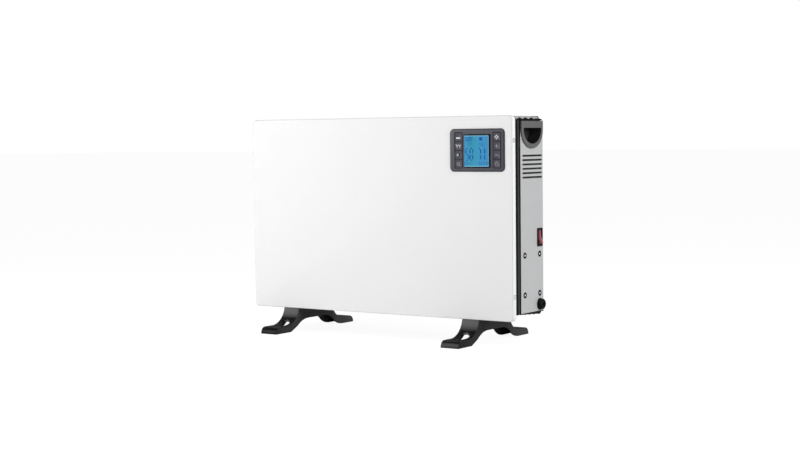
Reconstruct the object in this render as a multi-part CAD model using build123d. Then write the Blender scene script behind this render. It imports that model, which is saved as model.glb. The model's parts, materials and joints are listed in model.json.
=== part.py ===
from build123d import *
import math
import os

# A panel convector heater that stands on two arched feet or hangs on a wall. Millimetres.
# +X is to the right of someone who faces the front panel, +Y runs from the front to the back,
# +Z is up. The origin is on the floor, midway between the feet and midway along them.

# Front panel, a folded steel tray
PANEL_WIDTH = 600.0
PANEL_HEIGHT = 373.0
PANEL_RISE = 45.0  # the panel's lower edge above the floor
PANEL_CORNER_R = 8.0
PANEL_EDGE = 2.0  # the fold between the face and the flange is cut back by this much
PANEL_SHEET = 1.2
FLANGE_DEPTH = 12.0

# Body behind the panel
BODY_INSET = 5.0  # the body's side is this far inside the panel's edge
FRAME_DEPTH = 26.0  # dark strip between the panel's flange and the side panel
SIDE_DEPTH = 84.0
SIDE_RISE = 11.0  # the side panel's lower edge above the panel's
SIDE_DROP = 9.0  # the side panel's upper edge below the panel's
SIDE_SHEET = 1.0
SIDE_BEND_R = 4.0
SIDE_FRONT_LIP = 12.0
SIDE_REAR_LIP = 20.0
FRAME_WALL = 2.0
FRAME_CORNER_R = 4.0
FRAME_LIP = 12.0  # width of the frame's rear flange
FRONT_GROOVE = 6.0  # width of the groove next to the panel's flange
REAR_GROOVE = 4.5  # width of the groove next to the side panel
GROOVE_DEPTH = 1.0
CROWN_RIM = 4.0  # height of the black rim on top of the sides
COVER_SHEET = 1.2
SHIELD_SHEET = 0.8
BASE_SHEET = 1.2

# Clearances
SEAT_GAP = 0.3  # between a sheet's edge and what it drops into
SCREW_GAP = 0.1  # radial, between a shank and its hole
RUN_GAP = 0.05  # radial, between a turning pin and its hole

# Outlet and inlet grilles
WAVE_COUNT = 4
OUTLET_GAP = 1.5  # between the outlet's slats
INLET_GAP = 2.0  # between the inlet's slats
WAVE_HEIGHT = 4.0
WAVE_SHEET = 1.2
GRILLE_PLATE = 2.0
INLET_HANG = 6.4  # the rearmost inlet slat below the side panel
GRILLE_END = 5.0  # the outlet grille ends this far inside the body's side
WAVE_LAND = 1.2  # upright edge of a slat, which the ribs join
RIB_WIDTH = 3.0
OUTLET_RIBS = 5
INLET_RIBS = 3
RAMP_DEPTH = 15.0  # the rear slope of the crown
EAVE_DEPTH = 3.5  # the steep end of that slope
EAVE_HEIGHT = 2.4
CREST_DEPTH = 5.5
CREST_LAND = 1.6
CROWN_BAR = 8.0  # bars of the crown round the outlet
CROWN_SKIRT = 6.0

# Side slots
SLOT_COUNT = 6
SLOT_PITCH = 7.95
SLOT_FRONT = 7.5  # the slots start this far behind the side panel's front edge
SLOT_REAR = 4.0  # the slots end this far ahead of its rear edge
SLOT_WIDTH = 3.6
SLOT_DROP = 64.5  # the first slot's centre below the side panel's top

# Handles
CAP_FRONT = 1.0  # behind the side panel's front edge
CAP_REAR = 3.0  # ahead of its rear edge
CAP_HEIGHT = 51.4
CAP_STRAIGHT = 17.6  # height of the cap above the start of its curve
CAP_PROUD = 2.5
CAP_EDGE = 1.2
POCKET_INSET = 8.5  # inside the cap's front and rear edges
POCKET_HEIGHT = 28.8
POCKET_DROP = 13.8  # the pocket's top below the cap's top
POCKET_STRAIGHT = 3.0
POCKET_DEPTH = 26.0
POCKET_WALL = 2.0

# Screws: head radius, head height, shank radius, shank length. There are many, so each has few sides.
PANEL_SCREW = (2.6, 0.9, 1.5, 8.0)
SIDE_SCREW = (2.7, 1.2, 1.8, 8.0)
REAR_SCREW = (3.2, 1.4, 1.8, 6.0)
FOOT_SCREW = (4.2, 2.4, 2.2, 12.0)
HEAD_SIDES = 8
SHANK_SIDES = 6
PANEL_SCREW_DEPTH = 6.5  # behind the panel's face
PANEL_SCREW_ENDS = 45.0  # from the panel's upper and lower edges
SIDE_SCREW_EDGE = 14.5  # from the side panel's front and rear edges
SIDE_SCREW_RISES = (33.0, 106.0)  # above the side panel's lower edge
REAR_SCREW_ROWS = 3
WASHER_R = 4.7
WASHER_THICK = 0.8

# Control panel
CONTROL_WIDTH = 116.0
CONTROL_HEIGHT = 78.4
CONTROL_CORNER_R = 8.0
CONTROL_RIGHT = 15.0  # from the panel's right edge
CONTROL_DROP = 23.2  # from the panel's top edge
CONTENT_SHIFT = 1.8  # the display and the keys to the right of the control panel's middle
BEZEL_PROUD = 1.8
BEZEL_EDGE = 0.8
BEZEL_OVERLAP = 4.0  # how far the bezel covers the panel round the window
BEZEL_BACK = 2.0  # the bezel's back behind the panel's face
LENS_WIDTH = 54.8
LENS_HEIGHT = 58.8
LENS_THICK = 1.2
LENS_SUNK = 0.8  # behind the bezel's face
LENS_LEDGE = 2.2
KEY_ROWS = 4
KEY_PITCH = 16.2
KEY_SIZE = 14.4
KEY_GAP = 0.2
KEY_LIP = 0.5
KEY_LIP_THICK = 1.0
KEY_COLUMN = 40.7  # from the display's centre
KEY_PROUD = 0.4
KEY_TRAVEL = 0.6
KEY_REST_GAP = 0.1
KEY_STEM_WIDTH = 4.0
KEY_STEM = 1.2
SWITCH_SIZE = 6.0
SWITCH_BODY = 3.0
PLUNGER = 0.8
PLUNGER_WIDTH = 3.0
BOARD_THICK = 1.6
POST = 3.0  # side of the square posts that hold the control board
BOX_WALL = 2.0
BOX_FLANGE = 2.0  # thickness of the rim behind the window
BOX_DEPTH = 22.8
DISPLAY_MARGIN = 1.0

# Rocker switch and cable gland, both on the rear screw column of the right side
ROCKER_RISE = 137.0  # above the side panel's lower edge
ROCKER_WIDTH = 18.6
ROCKER_HEIGHT = 33.8
ROCKER_BEZEL = 2.0
ROCKER_BODY_DEPTH = 22.0
ROCKER_FLOOR = 7.0
PADDLE_R = 13.2
PADDLE_WIDTH = 11.2
PADDLE_CLEAR = 0.35
PADDLE_TIP = 5.6  # the tips stand this far outside the pivot at mid travel
PADDLE_DISH = 3.0  # the middle of the paddle's face outside the pivot
PADDLE_BACK = 6.5
PADDLE_TILT = 13.0
PIVOT_SUNK = 2.5  # the pivot behind the side panel's face
TRUNNION_R = 1.6
TRUNNION_REACH = 1.2
SPADE = (4.8, 0.8, 9.0)  # width, thickness, length
SPADE_PITCH = 8.0
GLAND_RISE = 12.4
GLAND_R = 9.6
GLAND_REACH = 9.0
GLAND_BORE_R = 3.6
GLAND_TAIL_R = 6.9
GLAND_TAIL = 12.0

# Heating element and its supports
ELEMENT_ENDS = 85.0  # the element's ends inside the panel's edges
ELEMENT_RISE = 62.0  # the element's axis above the side panel's lower edge
ARM_LENGTH = 40.0
ARM_THICK = 2.4
HUB_R = 8.0
FIN_COUNT = 3
FIN_START = 15.0  # the first fin's distance from the element's axis
FIN_PITCH = 9.0
FIN_LENGTH = 12.0
FIN_GROWTH = 3.0  # each fin is longer than the one inside it by this much
FIN_THICK = 1.4
HUB_HOLE = 8.0  # side of the square hole through the element
INSULATOR_DEEP = 16.0
INSULATOR_COLLAR = 14.0
INSULATOR_TAIL = 5.0
SUPPORT_SHEET = 1.2
SUPPORT_GAP = 6.0  # between the element's end and the support's web
SUPPORT_WIDTH = 64.0
SUPPORT_ABOVE = 26.0  # the web's top above the element's axis
SUPPORT_FOOT = 10.0

# Parts behind the side panels
BRACKET_SHEET = 1.2
BRACKET_MARGIN = 9.0  # round the four side screws
BRACKET_LIP = 10.0
STANDOFF_R = 2.6
STANDOFF = 14.0
POWER_BOARD = (54.0, 70.0)
STANDOFF_INSET = 5.0
RELAY = (15.0, 19.0, 16.0)
CAPACITOR = (8.0, 26.0, 16.0)
TERMINALS = (12.0, 40.0, 11.0)
TERMINAL_COUNT = 4
TILT_CASE = (22.0, 34.0, 44.0)
TILT_WALL = 1.8
TILT_PIN_R = 1.5
TILT_PIN_DROP = 9.0  # the pin below the case's top
BOB_R = 6.5
BOB_THICK = 10.0
BOB_DROP = 20.0
BOB_ARM = 4.0
CUTOUT_R = 8.0
CUTOUT_THICK = 6.0
CUTOUT_INSET = 110.0  # inside the panel's edge
CUTOUT_RISE = 118.0
CUTOUT_STANDOFF = 9.0
STRAP_WIDTH = 12.0

# Back cover
COVER_SLOTS = 9
COVER_SLOT_WIDTH = 7.0
COVER_SLOT_LENGTH = 40.0
COVER_SLOT_PITCH = 28.0
COVER_SLOT_ENDS = 46.0  # the rows' centres from the cover's upper and lower edges
WALL_SPACING = 380.0
WALL_HOLE_R = 3.0
WALL_HOLE_RISE = 30.0  # above the cover's lower edge
KEYHOLE_R = 5.5
KEYHOLE_SLOT_WIDTH = 5.5
KEYHOLE_SLOT = 15.0  # the slot's top above the round hole's centre
KEYHOLE_DROP = 40.0
BEAD_WIDTH = 8.0
BEAD_DEPTH = 1.5
SHIELD_BEADS = 3

# Feet
FOOT_AHEAD = 72.0  # the toe in front of the panel's face
FOOT_BEHIND = 60.0  # the heel behind the body's back
FOOT_INSET = 91.0  # the foot's middle inside the panel's edge
FOOT_WIDTH = 38.0
NECK_WIDTH = 35.0
FOOT_WALL = 3.0
TOE_HEIGHT = 13.0
HEEL_HEIGHT = 13.5
FRONT_SWEEP_R = 39.0
REAR_SWEEP_R = 34.0
NECK_FRONT = 0.8  # behind the panel's face, under its flange
NECK_REAR = 10.0  # ahead of the body's back
ARCH_AHEAD = 25.0  # the arch starts this far in front of the panel's face
ARCH_BEHIND = 9.0  # the arch ends this far behind the body's back
ARCH_HEIGHT = 22.8
TOE_LIP = 1.5  # upright part of the toe and heel under their rounding
DROP_LENGTH = 52.0
DROP_R = 10.5
DROP_START = 7.5  # the drop's tip behind the toe
FOOT_ZONE = 44.0  # width of the flat land that each foot bolts to
FOOT_GAP = 0.3
FOOT_SCREW_FRONT = 14.0  # behind the frame
FOOT_SCREW_REAR = 24.0  # ahead of the body's back

# Worked out from the sizes above
FOOT_LENGTH = FOOT_AHEAD + FLANGE_DEPTH + FRAME_DEPTH + SIDE_DEPTH + FOOT_BEHIND
FOOT_X = PANEL_WIDTH / 2 - FOOT_INSET
FACE_Y = FOOT_AHEAD - FOOT_LENGTH / 2
FLANGE_Y = FACE_Y + FLANGE_DEPTH
FRAME_Y = FLANGE_Y + FRAME_DEPTH
BACK_Y = FRAME_Y + SIDE_DEPTH
DUCT_Y = (FRAME_Y + BACK_Y) / 2
COVER_Y = BACK_Y - SIDE_SHEET - COVER_SHEET
SIDE_X = PANEL_WIDTH / 2 - BODY_INSET
CAP_WIDTH = SIDE_DEPTH - CAP_FRONT - CAP_REAR
POCKET_WIDTH = CAP_WIDTH - 2 * POCKET_INSET
SHEET_X = SIDE_X - SIDE_SHEET
INNER_X = SIDE_X - SIDE_BEND_R - SEAT_GAP
PANEL_TOP = PANEL_RISE + PANEL_HEIGHT
PANEL_MID = PANEL_RISE + PANEL_HEIGHT / 2
SIDE_BOTTOM = PANEL_RISE + SIDE_RISE
SIDE_TOP = PANEL_TOP - SIDE_DROP
CROWN_TOP = SIDE_TOP + CROWN_RIM
GRILLE_TOP = CROWN_TOP + WAVE_HEIGHT
BODY_BOTTOM = SIDE_BOTTOM - GRILLE_PLATE
BASE_TOP = SIDE_BOTTOM + BASE_SHEET
CREST_Y = BACK_Y - RAMP_DEPTH - CREST_DEPTH - CREST_LAND
CONTROL_X = PANEL_WIDTH / 2 - CONTROL_RIGHT - CONTROL_WIDTH / 2
CONTROL_Z = PANEL_TOP - CONTROL_DROP - CONTROL_HEIGHT / 2
WINDOW_WIDTH = CONTROL_WIDTH - 2 * BEZEL_OVERLAP
WINDOW_HEIGHT = CONTROL_HEIGHT - 2 * BEZEL_OVERLAP
BEZEL_Y = FACE_Y - BEZEL_PROUD
KEY_LIP_Y = FACE_Y + BEZEL_BACK + KEY_REST_GAP
KEY_END_Y = KEY_LIP_Y + KEY_LIP_THICK + KEY_STEM
PLUNGER_Y = KEY_END_Y + KEY_TRAVEL + KEY_REST_GAP
BOARD_Y = PLUNGER_Y + PLUNGER + SWITCH_BODY
REAR_COLUMN_Y = BACK_Y - SIDE_SCREW_EDGE
FRONT_COLUMN_Y = FRAME_Y + SIDE_SCREW_EDGE
ROCKER_Z = SIDE_BOTTOM + ROCKER_RISE
PIVOT_X = SIDE_X - PIVOT_SUNK
GLAND_Z = SIDE_BOTTOM + GLAND_RISE
ELEMENT_Z = SIDE_BOTTOM + ELEMENT_RISE
CUTOUT_X = PANEL_WIDTH / 2 - CUTOUT_INSET
CUTOUT_Z = SIDE_BOTTOM + CUTOUT_RISE
ELEMENT_X = PANEL_WIDTH / 2 - ELEMENT_ENDS
SUPPORT_X = ELEMENT_X + SUPPORT_GAP
BRACKET_X = SHEET_X - BRACKET_SHEET
BRACKET_BOTTOM = SIDE_BOTTOM + SIDE_SCREW_RISES[0] - BRACKET_MARGIN
BRACKET_TOP = SIDE_BOTTOM + SIDE_SCREW_RISES[1] + BRACKET_MARGIN
BRACKET_MID = (BRACKET_BOTTOM + BRACKET_TOP) / 2
POWER_X = BRACKET_X - STANDOFF
TILT_TOP = BRACKET_MID + TILT_CASE[2] / 2
TILT_PIN_Z = TILT_TOP - TILT_PIN_DROP
HANDLE_Y = FRAME_Y + CAP_FRONT + CAP_WIDTH / 2
POCKET_TOP = SIDE_TOP - POCKET_DROP
INLET_X = FOOT_X - FOOT_ZONE / 2
TOE_Y = -FOOT_LENGTH / 2
HEEL_Y = FOOT_LENGTH / 2
FOOT_TOP = BODY_BOTTOM
NECK_TOP = PANEL_RISE - FOOT_GAP


def block(x, y, z):
    """A box between a low and a high value on each axis."""
    middle = [(low + high) / 2 for low, high in (x, y, z)]
    return Pos(*middle) * Box(*[high - low for low, high in (x, y, z)])


def along_x(profile, start, end):
    return extrude(Plane.YZ.offset(start) * profile, amount=end - start)


def along_y(profile, start, end):
    back = Plane(origin=(0, end, 0), x_dir=(1, 0, 0), z_dir=(0, -1, 0))
    return extrude(back * profile, amount=end - start)


def along_z(profile, start, end):
    return extrude(Plane.XY.offset(start) * profile, amount=end - start)


def mirrored(shape):
    """The left-hand copy of a right-hand piece."""
    return mirror(shape, about=Plane.YZ)


def sharp_edges(shape, axis, position):
    """Edges that lie in the plane at one position along an axis."""
    return shape.edges().filter_by_position(axis, position - 0.01, position + 0.01)


def screw(sizes, seat, outward):
    """A pan-head screw whose head sits at seat and faces outward."""
    head_r, head_height, shank_r, length = sizes
    plane = Plane(origin=seat, z_dir=outward)
    head = extrude(plane * RegularPolygon(head_r, HEAD_SIDES), amount=head_height)
    return head + extrude(plane * RegularPolygon(shank_r, SHANK_SIDES), amount=-length)


def screw_hole(sizes, seat, outward):
    """The hole that a screw's shank needs, as long as the shank to both sides of its seat."""
    shank_r, length = sizes[2:]
    hole = RegularPolygon(shank_r + SCREW_GAP, SHANK_SIDES)
    return extrude(Plane(origin=seat, z_dir=outward) * hole, amount=length, both=True)


def panel_screw_seats():
    """Where the two screws of the right flange sit."""
    y = FACE_Y + PANEL_SCREW_DEPTH
    return [(PANEL_WIDTH / 2, y, z) for z in (PANEL_RISE + PANEL_SCREW_ENDS, PANEL_TOP - PANEL_SCREW_ENDS)]


def side_screw_seats():
    """Where the four screws of the right side panel sit."""
    return [(SIDE_X, y, SIDE_BOTTOM + rise)
            for rise in SIDE_SCREW_RISES for y in (FRONT_COLUMN_Y, REAR_COLUMN_Y)]


def rear_screw_seats():
    """Where the screws of the cover's right edge sit."""
    low, high = SIDE_BOTTOM + SIDE_REAR_LIP, SIDE_TOP - SIDE_REAR_LIP
    pitch = (high - low) / (REAR_SCREW_ROWS - 1)
    return [(SIDE_X - SIDE_REAR_LIP / 2, BACK_Y, low + row * pitch) for row in range(REAR_SCREW_ROWS)]


def foot_screw_seats():
    """Where the two screws of the right foot sit."""
    return [(FOOT_X, y, FOOT_TOP - FOOT_WALL)
            for y in (FRAME_Y + FOOT_SCREW_FRONT, BACK_Y - FOOT_SCREW_REAR)]


def both_sides(pieces):
    """Right-hand pieces together with their mirror images."""
    return Compound(children=[*pieces, *[mirrored(piece) for piece in pieces]])


def front_panel():
    outline = Pos(0, PANEL_MID) * RectangleRounded(PANEL_WIDTH, PANEL_HEIGHT, PANEL_CORNER_R)
    tray = along_y(outline, FACE_Y, FLANGE_Y)
    tray = chamfer(sharp_edges(tray, Axis.Y, FACE_Y), PANEL_EDGE)
    inner = RectangleRounded(PANEL_WIDTH - 2 * PANEL_SHEET, PANEL_HEIGHT - 2 * PANEL_SHEET,
                             PANEL_CORNER_R - PANEL_SHEET)
    tray -= along_y(Pos(0, PANEL_MID) * inner, FACE_Y + PANEL_SHEET, FLANGE_Y + 1)
    tray -= along_y(at_control(Rectangle(WINDOW_WIDTH, WINDOW_HEIGHT)), FACE_Y - 1, FACE_Y + 2 * PANEL_SHEET)
    for seat in panel_screw_seats():
        hole = screw_hole(PANEL_SCREW, seat, (1, 0, 0))
        tray -= [hole, mirrored(hole)]
    return tray


def panel_screws():
    return both_sides([screw(PANEL_SCREW, seat, (1, 0, 0)) for seat in panel_screw_seats()])


def chassis_frame():
    """Black ring whose four tabs fit inside the tray and whose strip shows behind it."""
    reach_x = PANEL_WIDTH / 2 - PANEL_SHEET - SEAT_GAP
    reach_z = PANEL_HEIGHT / 2 - PANEL_SHEET - SEAT_GAP
    corner = PANEL_CORNER_R - PANEL_SHEET
    shoulder_y = FLANGE_Y - FRAME_WALL
    shoulder = Pos(0, PANEL_MID) * RectangleRounded(2 * reach_x, 2 * reach_z, corner)
    frame = along_y(shoulder, shoulder_y, FLANGE_Y)
    for side in (-1, 1):
        upright = Rectangle(FRAME_WALL, 2 * (reach_z - corner))
        level = Rectangle(2 * (reach_x - corner), FRAME_WALL)
        for tab, x, z in ((upright, reach_x - FRAME_WALL / 2, 0), (level, 0, reach_z - FRAME_WALL / 2)):
            frame += along_y(Pos(side * x, PANEL_MID + side * z) * tab, FACE_Y + PANEL_SHEET, FLANGE_Y)
    height = CROWN_TOP - BODY_BOTTOM
    middle = Pos(0, (CROWN_TOP + BODY_BOTTOM) / 2)
    frame += along_y(middle * RectangleRounded(2 * SIDE_X, height, FRAME_CORNER_R), shoulder_y, FRAME_Y)
    hollow = Rectangle(2 * (SIDE_X - FRAME_WALL), height - 2 * FRAME_WALL)
    frame -= along_y(middle * hollow, shoulder_y - 1, FRAME_Y - FRAME_WALL)
    for grooved in ((FLANGE_Y, FLANGE_Y + FRONT_GROOVE), (FRAME_Y - REAR_GROOVE, FRAME_Y)):
        groove = block((SIDE_X - GROOVE_DEPTH, PANEL_WIDTH / 2), grooved, (BODY_BOTTOM, CROWN_TOP))
        frame -= [groove, mirrored(groove)]
    opening = Rectangle(2 * (SIDE_X - FRAME_LIP), height - 2 * FRAME_LIP)
    frame -= along_y(middle * opening, FRAME_Y - 2 * FRAME_WALL, FRAME_Y + 1)
    for seat in panel_screw_seats():
        hole = screw_hole(PANEL_SCREW, seat, (1, 0, 0))
        frame -= [hole, mirrored(hole)]
    return frame


def heat_shield():
    """Thin bright sheet, stiffened by beads, between the warm duct and the front panel."""
    back = FRAME_Y - FRAME_WALL
    front = back - SHIELD_SHEET
    gap = FRAME_WALL + SEAT_GAP
    low, high = BODY_BOTTOM + gap, CROWN_TOP - gap
    sheet = block((-SIDE_X + gap, SIDE_X - gap), (front, back), (low, high))
    slope = BEAD_WIDTH / 4
    bead = make_face(Polyline((front, -BEAD_WIDTH / 2), (front - BEAD_DEPTH, -BEAD_WIDTH / 2 + slope),
                              (front - BEAD_DEPTH, BEAD_WIDTH / 2 - slope), (front, BEAD_WIDTH / 2),
                              close=True))
    for place in range(SHIELD_BEADS):
        height = low + (high - low) * (place + 1) / (SHIELD_BEADS + 1)
        sheet += Pos(0, 0, height) * along_x(bead, -SIDE_X * 0.8, SIDE_X * 0.8)
    return sheet


def handle_outline(width, top, straight, height):
    """A flat-topped outline with straight shoulders and a round bowl below them."""
    half, spring = width / 2, top - straight
    bowl = ThreePointArc((half, spring), (0, top - height), (-half, spring))
    shoulders = Polyline((-half, spring), (-half, top), (half, top), (half, spring))
    return Pos(HANDLE_Y, 0) * make_face(Curve(children=[bowl, shoulders]).wires())


def tub_outline(grow):
    """Outline with six corners that clears the pocket by grow all round."""
    half, fall = POCKET_WIDTH / 2, POCKET_HEIGHT - POCKET_STRAIGHT
    bowl_r = (half ** 2 + fall ** 2) / (2 * fall)
    low = POCKET_TOP - POCKET_HEIGHT
    side, reach = half + grow, bowl_r + grow
    bend = low + bowl_r - (math.sqrt(2) * reach - side)
    sole = reach * math.tan(math.pi / 8)
    right = [(side, POCKET_TOP + grow), (side, bend), (sole, low - grow)]
    left = [(-y, z) for y, z in reversed(right)]
    return Pos(HANDLE_Y, 0) * make_face(Polyline(*right, *left, close=True))


def handle_right():
    """Grey cap over the side panel, with a deep pocket for the fingers."""
    outline = handle_outline(CAP_WIDTH, SIDE_TOP, CAP_STRAIGHT, CAP_HEIGHT)
    outer = SIDE_X + CAP_PROUD
    cap = along_x(outline, SIDE_X, outer - CAP_EDGE)
    cap += extrude(Plane.YZ.offset(outer - CAP_EDGE) * outline, amount=CAP_EDGE, taper=45)
    cap += along_x(tub_outline(POCKET_WALL), outer - POCKET_DEPTH - POCKET_WALL, SIDE_X)
    mouth = handle_outline(POCKET_WIDTH, POCKET_TOP, POCKET_STRAIGHT, POCKET_HEIGHT)
    return cap - along_x(mouth, outer - POCKET_DEPTH, outer)


def rear_rounded(middle, width, depth, radius):
    """A rectangle of the plan whose right rear corner is round."""
    face = Pos(middle, DUCT_Y) * Rectangle(width, depth)
    return fillet(face.vertices().sort_by(lambda v: v.X + v.Y)[-1], radius)


def side_section():
    """Plan of the right side panel: front lip, side, and rear lip."""
    outer = rear_rounded(SIDE_X - SIDE_REAR_LIP / 2, SIDE_REAR_LIP, SIDE_DEPTH, SIDE_BEND_R)
    inner = rear_rounded(SHEET_X - SIDE_REAR_LIP, 2 * SIDE_REAR_LIP, SIDE_DEPTH - 2 * SIDE_SHEET,
                         SIDE_BEND_R - SIDE_SHEET)
    lip_end = Pos(SIDE_X - SIDE_REAR_LIP, FRAME_Y) * Rectangle(2 * (SIDE_REAR_LIP - SIDE_FRONT_LIP),
                                                              4 * SIDE_SHEET)
    return outer - inner - lip_end


def plain_side():
    """What the two side panels share: the folded sheet, slots, handle hole and screw holes."""
    sheet = along_z(side_section(), SIDE_BOTTOM, SIDE_TOP)
    through = (SHEET_X - 1, SIDE_X + 1)
    slot_y = (FRAME_Y + SLOT_FRONT, BACK_Y - SLOT_REAR)
    for row in range(SLOT_COUNT):
        height = SIDE_TOP - SLOT_DROP - row * SLOT_PITCH
        sheet -= block(through, slot_y, (height - SLOT_WIDTH / 2, height + SLOT_WIDTH / 2))
    sheet -= along_x(tub_outline(POCKET_WALL + SEAT_GAP), *through)
    for seat in side_screw_seats():
        sheet -= screw_hole(SIDE_SCREW, seat, (1, 0, 0))
    for seat in rear_screw_seats():
        sheet -= screw_hole(REAR_SCREW, seat, (0, 1, 0))
    return sheet


def side_panel_right():
    """The right side also holds the mains switch and the cable gland."""
    sheet = plain_side()
    gap = 2 * SEAT_GAP - 2 * ROCKER_BEZEL
    switch = Rectangle(ROCKER_WIDTH + gap, ROCKER_HEIGHT + gap)
    gland = RegularPolygon(GLAND_TAIL_R + SCREW_GAP, SHANK_SIDES)
    for cut in (at_rocker(switch), at_gland(gland)):
        sheet -= along_x(cut, SHEET_X - 1, SIDE_X + 1)
    return sheet


def side_panel_left():
    return mirrored(plain_side())


def screw_washers():
    """Black washers under the heads of the side screws."""
    washers = []
    for seat in side_screw_seats():
        washer = extrude(Plane(origin=seat, z_dir=(1, 0, 0)) * RegularPolygon(WASHER_R, HEAD_SIDES),
                         amount=WASHER_THICK)
        washers.append(washer - screw_hole(SIDE_SCREW, seat, (1, 0, 0)))
    return both_sides(washers)


def side_screws():
    return both_sides([screw(SIDE_SCREW, (x + WASHER_THICK, y, z), (1, 0, 0))
                       for x, y, z in side_screw_seats()])


def side_bracket():
    """Steel bracket behind the side screws, folded along its top and bottom."""
    y = (FRONT_COLUMN_Y - BRACKET_MARGIN + 2, REAR_COLUMN_Y + BRACKET_MARGIN - 2)
    web = block((BRACKET_X, SHEET_X), y, (BRACKET_BOTTOM, BRACKET_TOP))
    lips = [block((SHEET_X - BRACKET_LIP, SHEET_X), y, (low, low + BRACKET_SHEET))
            for low in (BRACKET_BOTTOM, BRACKET_TOP - BRACKET_SHEET)]
    bracket = web + lips
    for seat in side_screw_seats():
        bracket -= screw_hole(SIDE_SCREW, seat, (1, 0, 0))
    return bracket


def standoff_places():
    """Plan of the four pillars that carry the power board."""
    width, height = POWER_BOARD
    return [(DUCT_Y + sy * (width / 2 - STANDOFF_INSET), BRACKET_MID + sz * (height / 2 - STANDOFF_INSET))
            for sy in (-1, 1) for sz in (-1, 1)]


def side_bracket_right():
    bracket = side_bracket()
    for y, z in standoff_places():
        bracket += along_x(Pos(y, z) * RegularPolygon(STANDOFF_R, SHANK_SIDES), POWER_X, BRACKET_X)
    return bracket


def power_board():
    width, height = POWER_BOARD
    return block((POWER_X - BOARD_THICK, POWER_X), (DUCT_Y - width / 2, DUCT_Y + width / 2),
                 (BRACKET_MID - height / 2, BRACKET_MID + height / 2))


def on_power_board(size, y, z):
    """A block of parts on the power board's inner face."""
    thick, length, high = size
    outer = POWER_X - BOARD_THICK
    return block((outer - thick, outer), (y - length / 2, y + length / 2), (z - high / 2, z + high / 2))


def power_relay():
    return on_power_board(RELAY, DUCT_Y - POWER_BOARD[0] / 5, BRACKET_MID)


def filter_capacitor():
    return on_power_board(CAPACITOR, DUCT_Y, BRACKET_MID + POWER_BOARD[1] / 2 - CAPACITOR[2])


def terminal_block():
    """Screw terminals along the power board's lower edge."""
    thick, length, high = TERMINALS
    z = BRACKET_MID - POWER_BOARD[1] / 2 + high
    body = on_power_board(TERMINALS, DUCT_Y, z)
    face = POWER_X - BOARD_THICK - thick
    pitch = length / TERMINAL_COUNT
    for place in range(TERMINAL_COUNT):
        y = DUCT_Y + (place - (TERMINAL_COUNT - 1) / 2) * pitch
        body -= block((face - 1, face + thick / 2), (y - pitch / 3, y + pitch / 3),
                      (z - high / 3, z + high / 3))
    return body


def top_frame():
    """Black crown round the air outlet: a rim, a rear crest that slopes to the back, and a skirt."""
    ramp_y = BACK_Y - RAMP_DEPTH
    outline = [(FRAME_Y, SIDE_TOP), (BACK_Y, SIDE_TOP), (BACK_Y - EAVE_DEPTH, SIDE_TOP + EAVE_HEIGHT),
               (ramp_y, CROWN_TOP),
               (ramp_y - CREST_DEPTH, GRILLE_TOP), (CREST_Y, GRILLE_TOP), (CREST_Y, CROWN_TOP),
               (FRAME_Y, CROWN_TOP)]
    crown = along_x(make_face(Polyline(*outline, close=True)), -SIDE_X, SIDE_X)
    front = FRAME_Y + SIDE_SHEET + SEAT_GAP
    inner = INNER_X - FRAME_WALL
    skirt_z = (SIDE_TOP - CROWN_SKIRT, SIDE_TOP)
    skirt = block((-INNER_X, INNER_X), (front, COVER_Y), skirt_z)
    skirt -= block((-inner, inner), (front + FRAME_WALL, COVER_Y - FRAME_WALL), skirt_z)
    outlet = block((-SIDE_X + CROWN_BAR, SIDE_X - CROWN_BAR), (FRAME_Y + CROWN_BAR, CREST_Y - FRAME_WALL),
                   (SIDE_TOP - 1, CROWN_TOP + 1))
    return crown + skirt - outlet


def wave(middle, width):
    """Section of one hollow outlet slat with upright edges."""
    half, edge = width / 2, CROWN_TOP + WAVE_LAND
    outer = ThreePointArc((middle - half, edge), (middle, GRILLE_TOP), (middle + half, edge))
    inner = ThreePointArc((middle + half - WAVE_SHEET, CROWN_TOP), (middle, GRILLE_TOP - WAVE_SHEET),
                          (middle - half + WAVE_SHEET, CROWN_TOP))
    ends = [Polyline(outer @ 1, (middle + half, CROWN_TOP), inner @ 0),
            Polyline(inner @ 1, (middle - half, CROWN_TOP), outer @ 0)]
    return make_face(Curve(children=[outer, inner, *ends]).wires())


def hanging_wave(middle, width, hang):
    """Section of one solid inlet slat, flat above and round below."""
    half = width / 2
    bowl = ThreePointArc((middle - half, BODY_BOTTOM), (middle, SIDE_BOTTOM - hang),
                         (middle + half, BODY_BOTTOM))
    flat = Polyline(bowl @ 1, (middle + half, SIDE_BOTTOM), (middle - half, SIDE_BOTTOM), bowl @ 0)
    return make_face(Curve(children=[bowl, flat]).wires())


def slat_row(start, end, gap):
    """Centres and width of the slats that share a stretch of depth with gaps between them."""
    pitch = (end - start) / WAVE_COUNT
    return [start + pitch * (place + 0.5) for place in range(WAVE_COUNT)], pitch - gap


def ribs_between(places, middles, width, z):
    """Short ribs, at places along the slats, that join each slat to the next."""
    return [block((x - RIB_WIDTH / 2, x + RIB_WIDTH / 2), (front + width / 2, back - width / 2), z)
            for x in places for front, back in zip(middles, middles[1:])]


def spread(count, reach):
    """Evenly spaced places between two ends that are the same distance from the middle."""
    return [reach * (2 * place / (count - 1) - 1) for place in range(count)]


def top_grille():
    """Bright outlet grille: four curved slats joined by short ribs."""
    middles, width = slat_row(FLANGE_Y + FRAME_WALL, CREST_Y - SEAT_GAP + OUTLET_GAP / 2, OUTLET_GAP)
    half = SIDE_X - GRILLE_END
    slats = [along_x(wave(y, width), -half, half) for y in middles]
    places = spread(OUTLET_RIBS, half - RIB_WIDTH)
    ribs = ribs_between(places, middles, width, (CROWN_TOP, CROWN_TOP + WAVE_LAND))
    return slats[0] + slats[1:] + ribs


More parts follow.
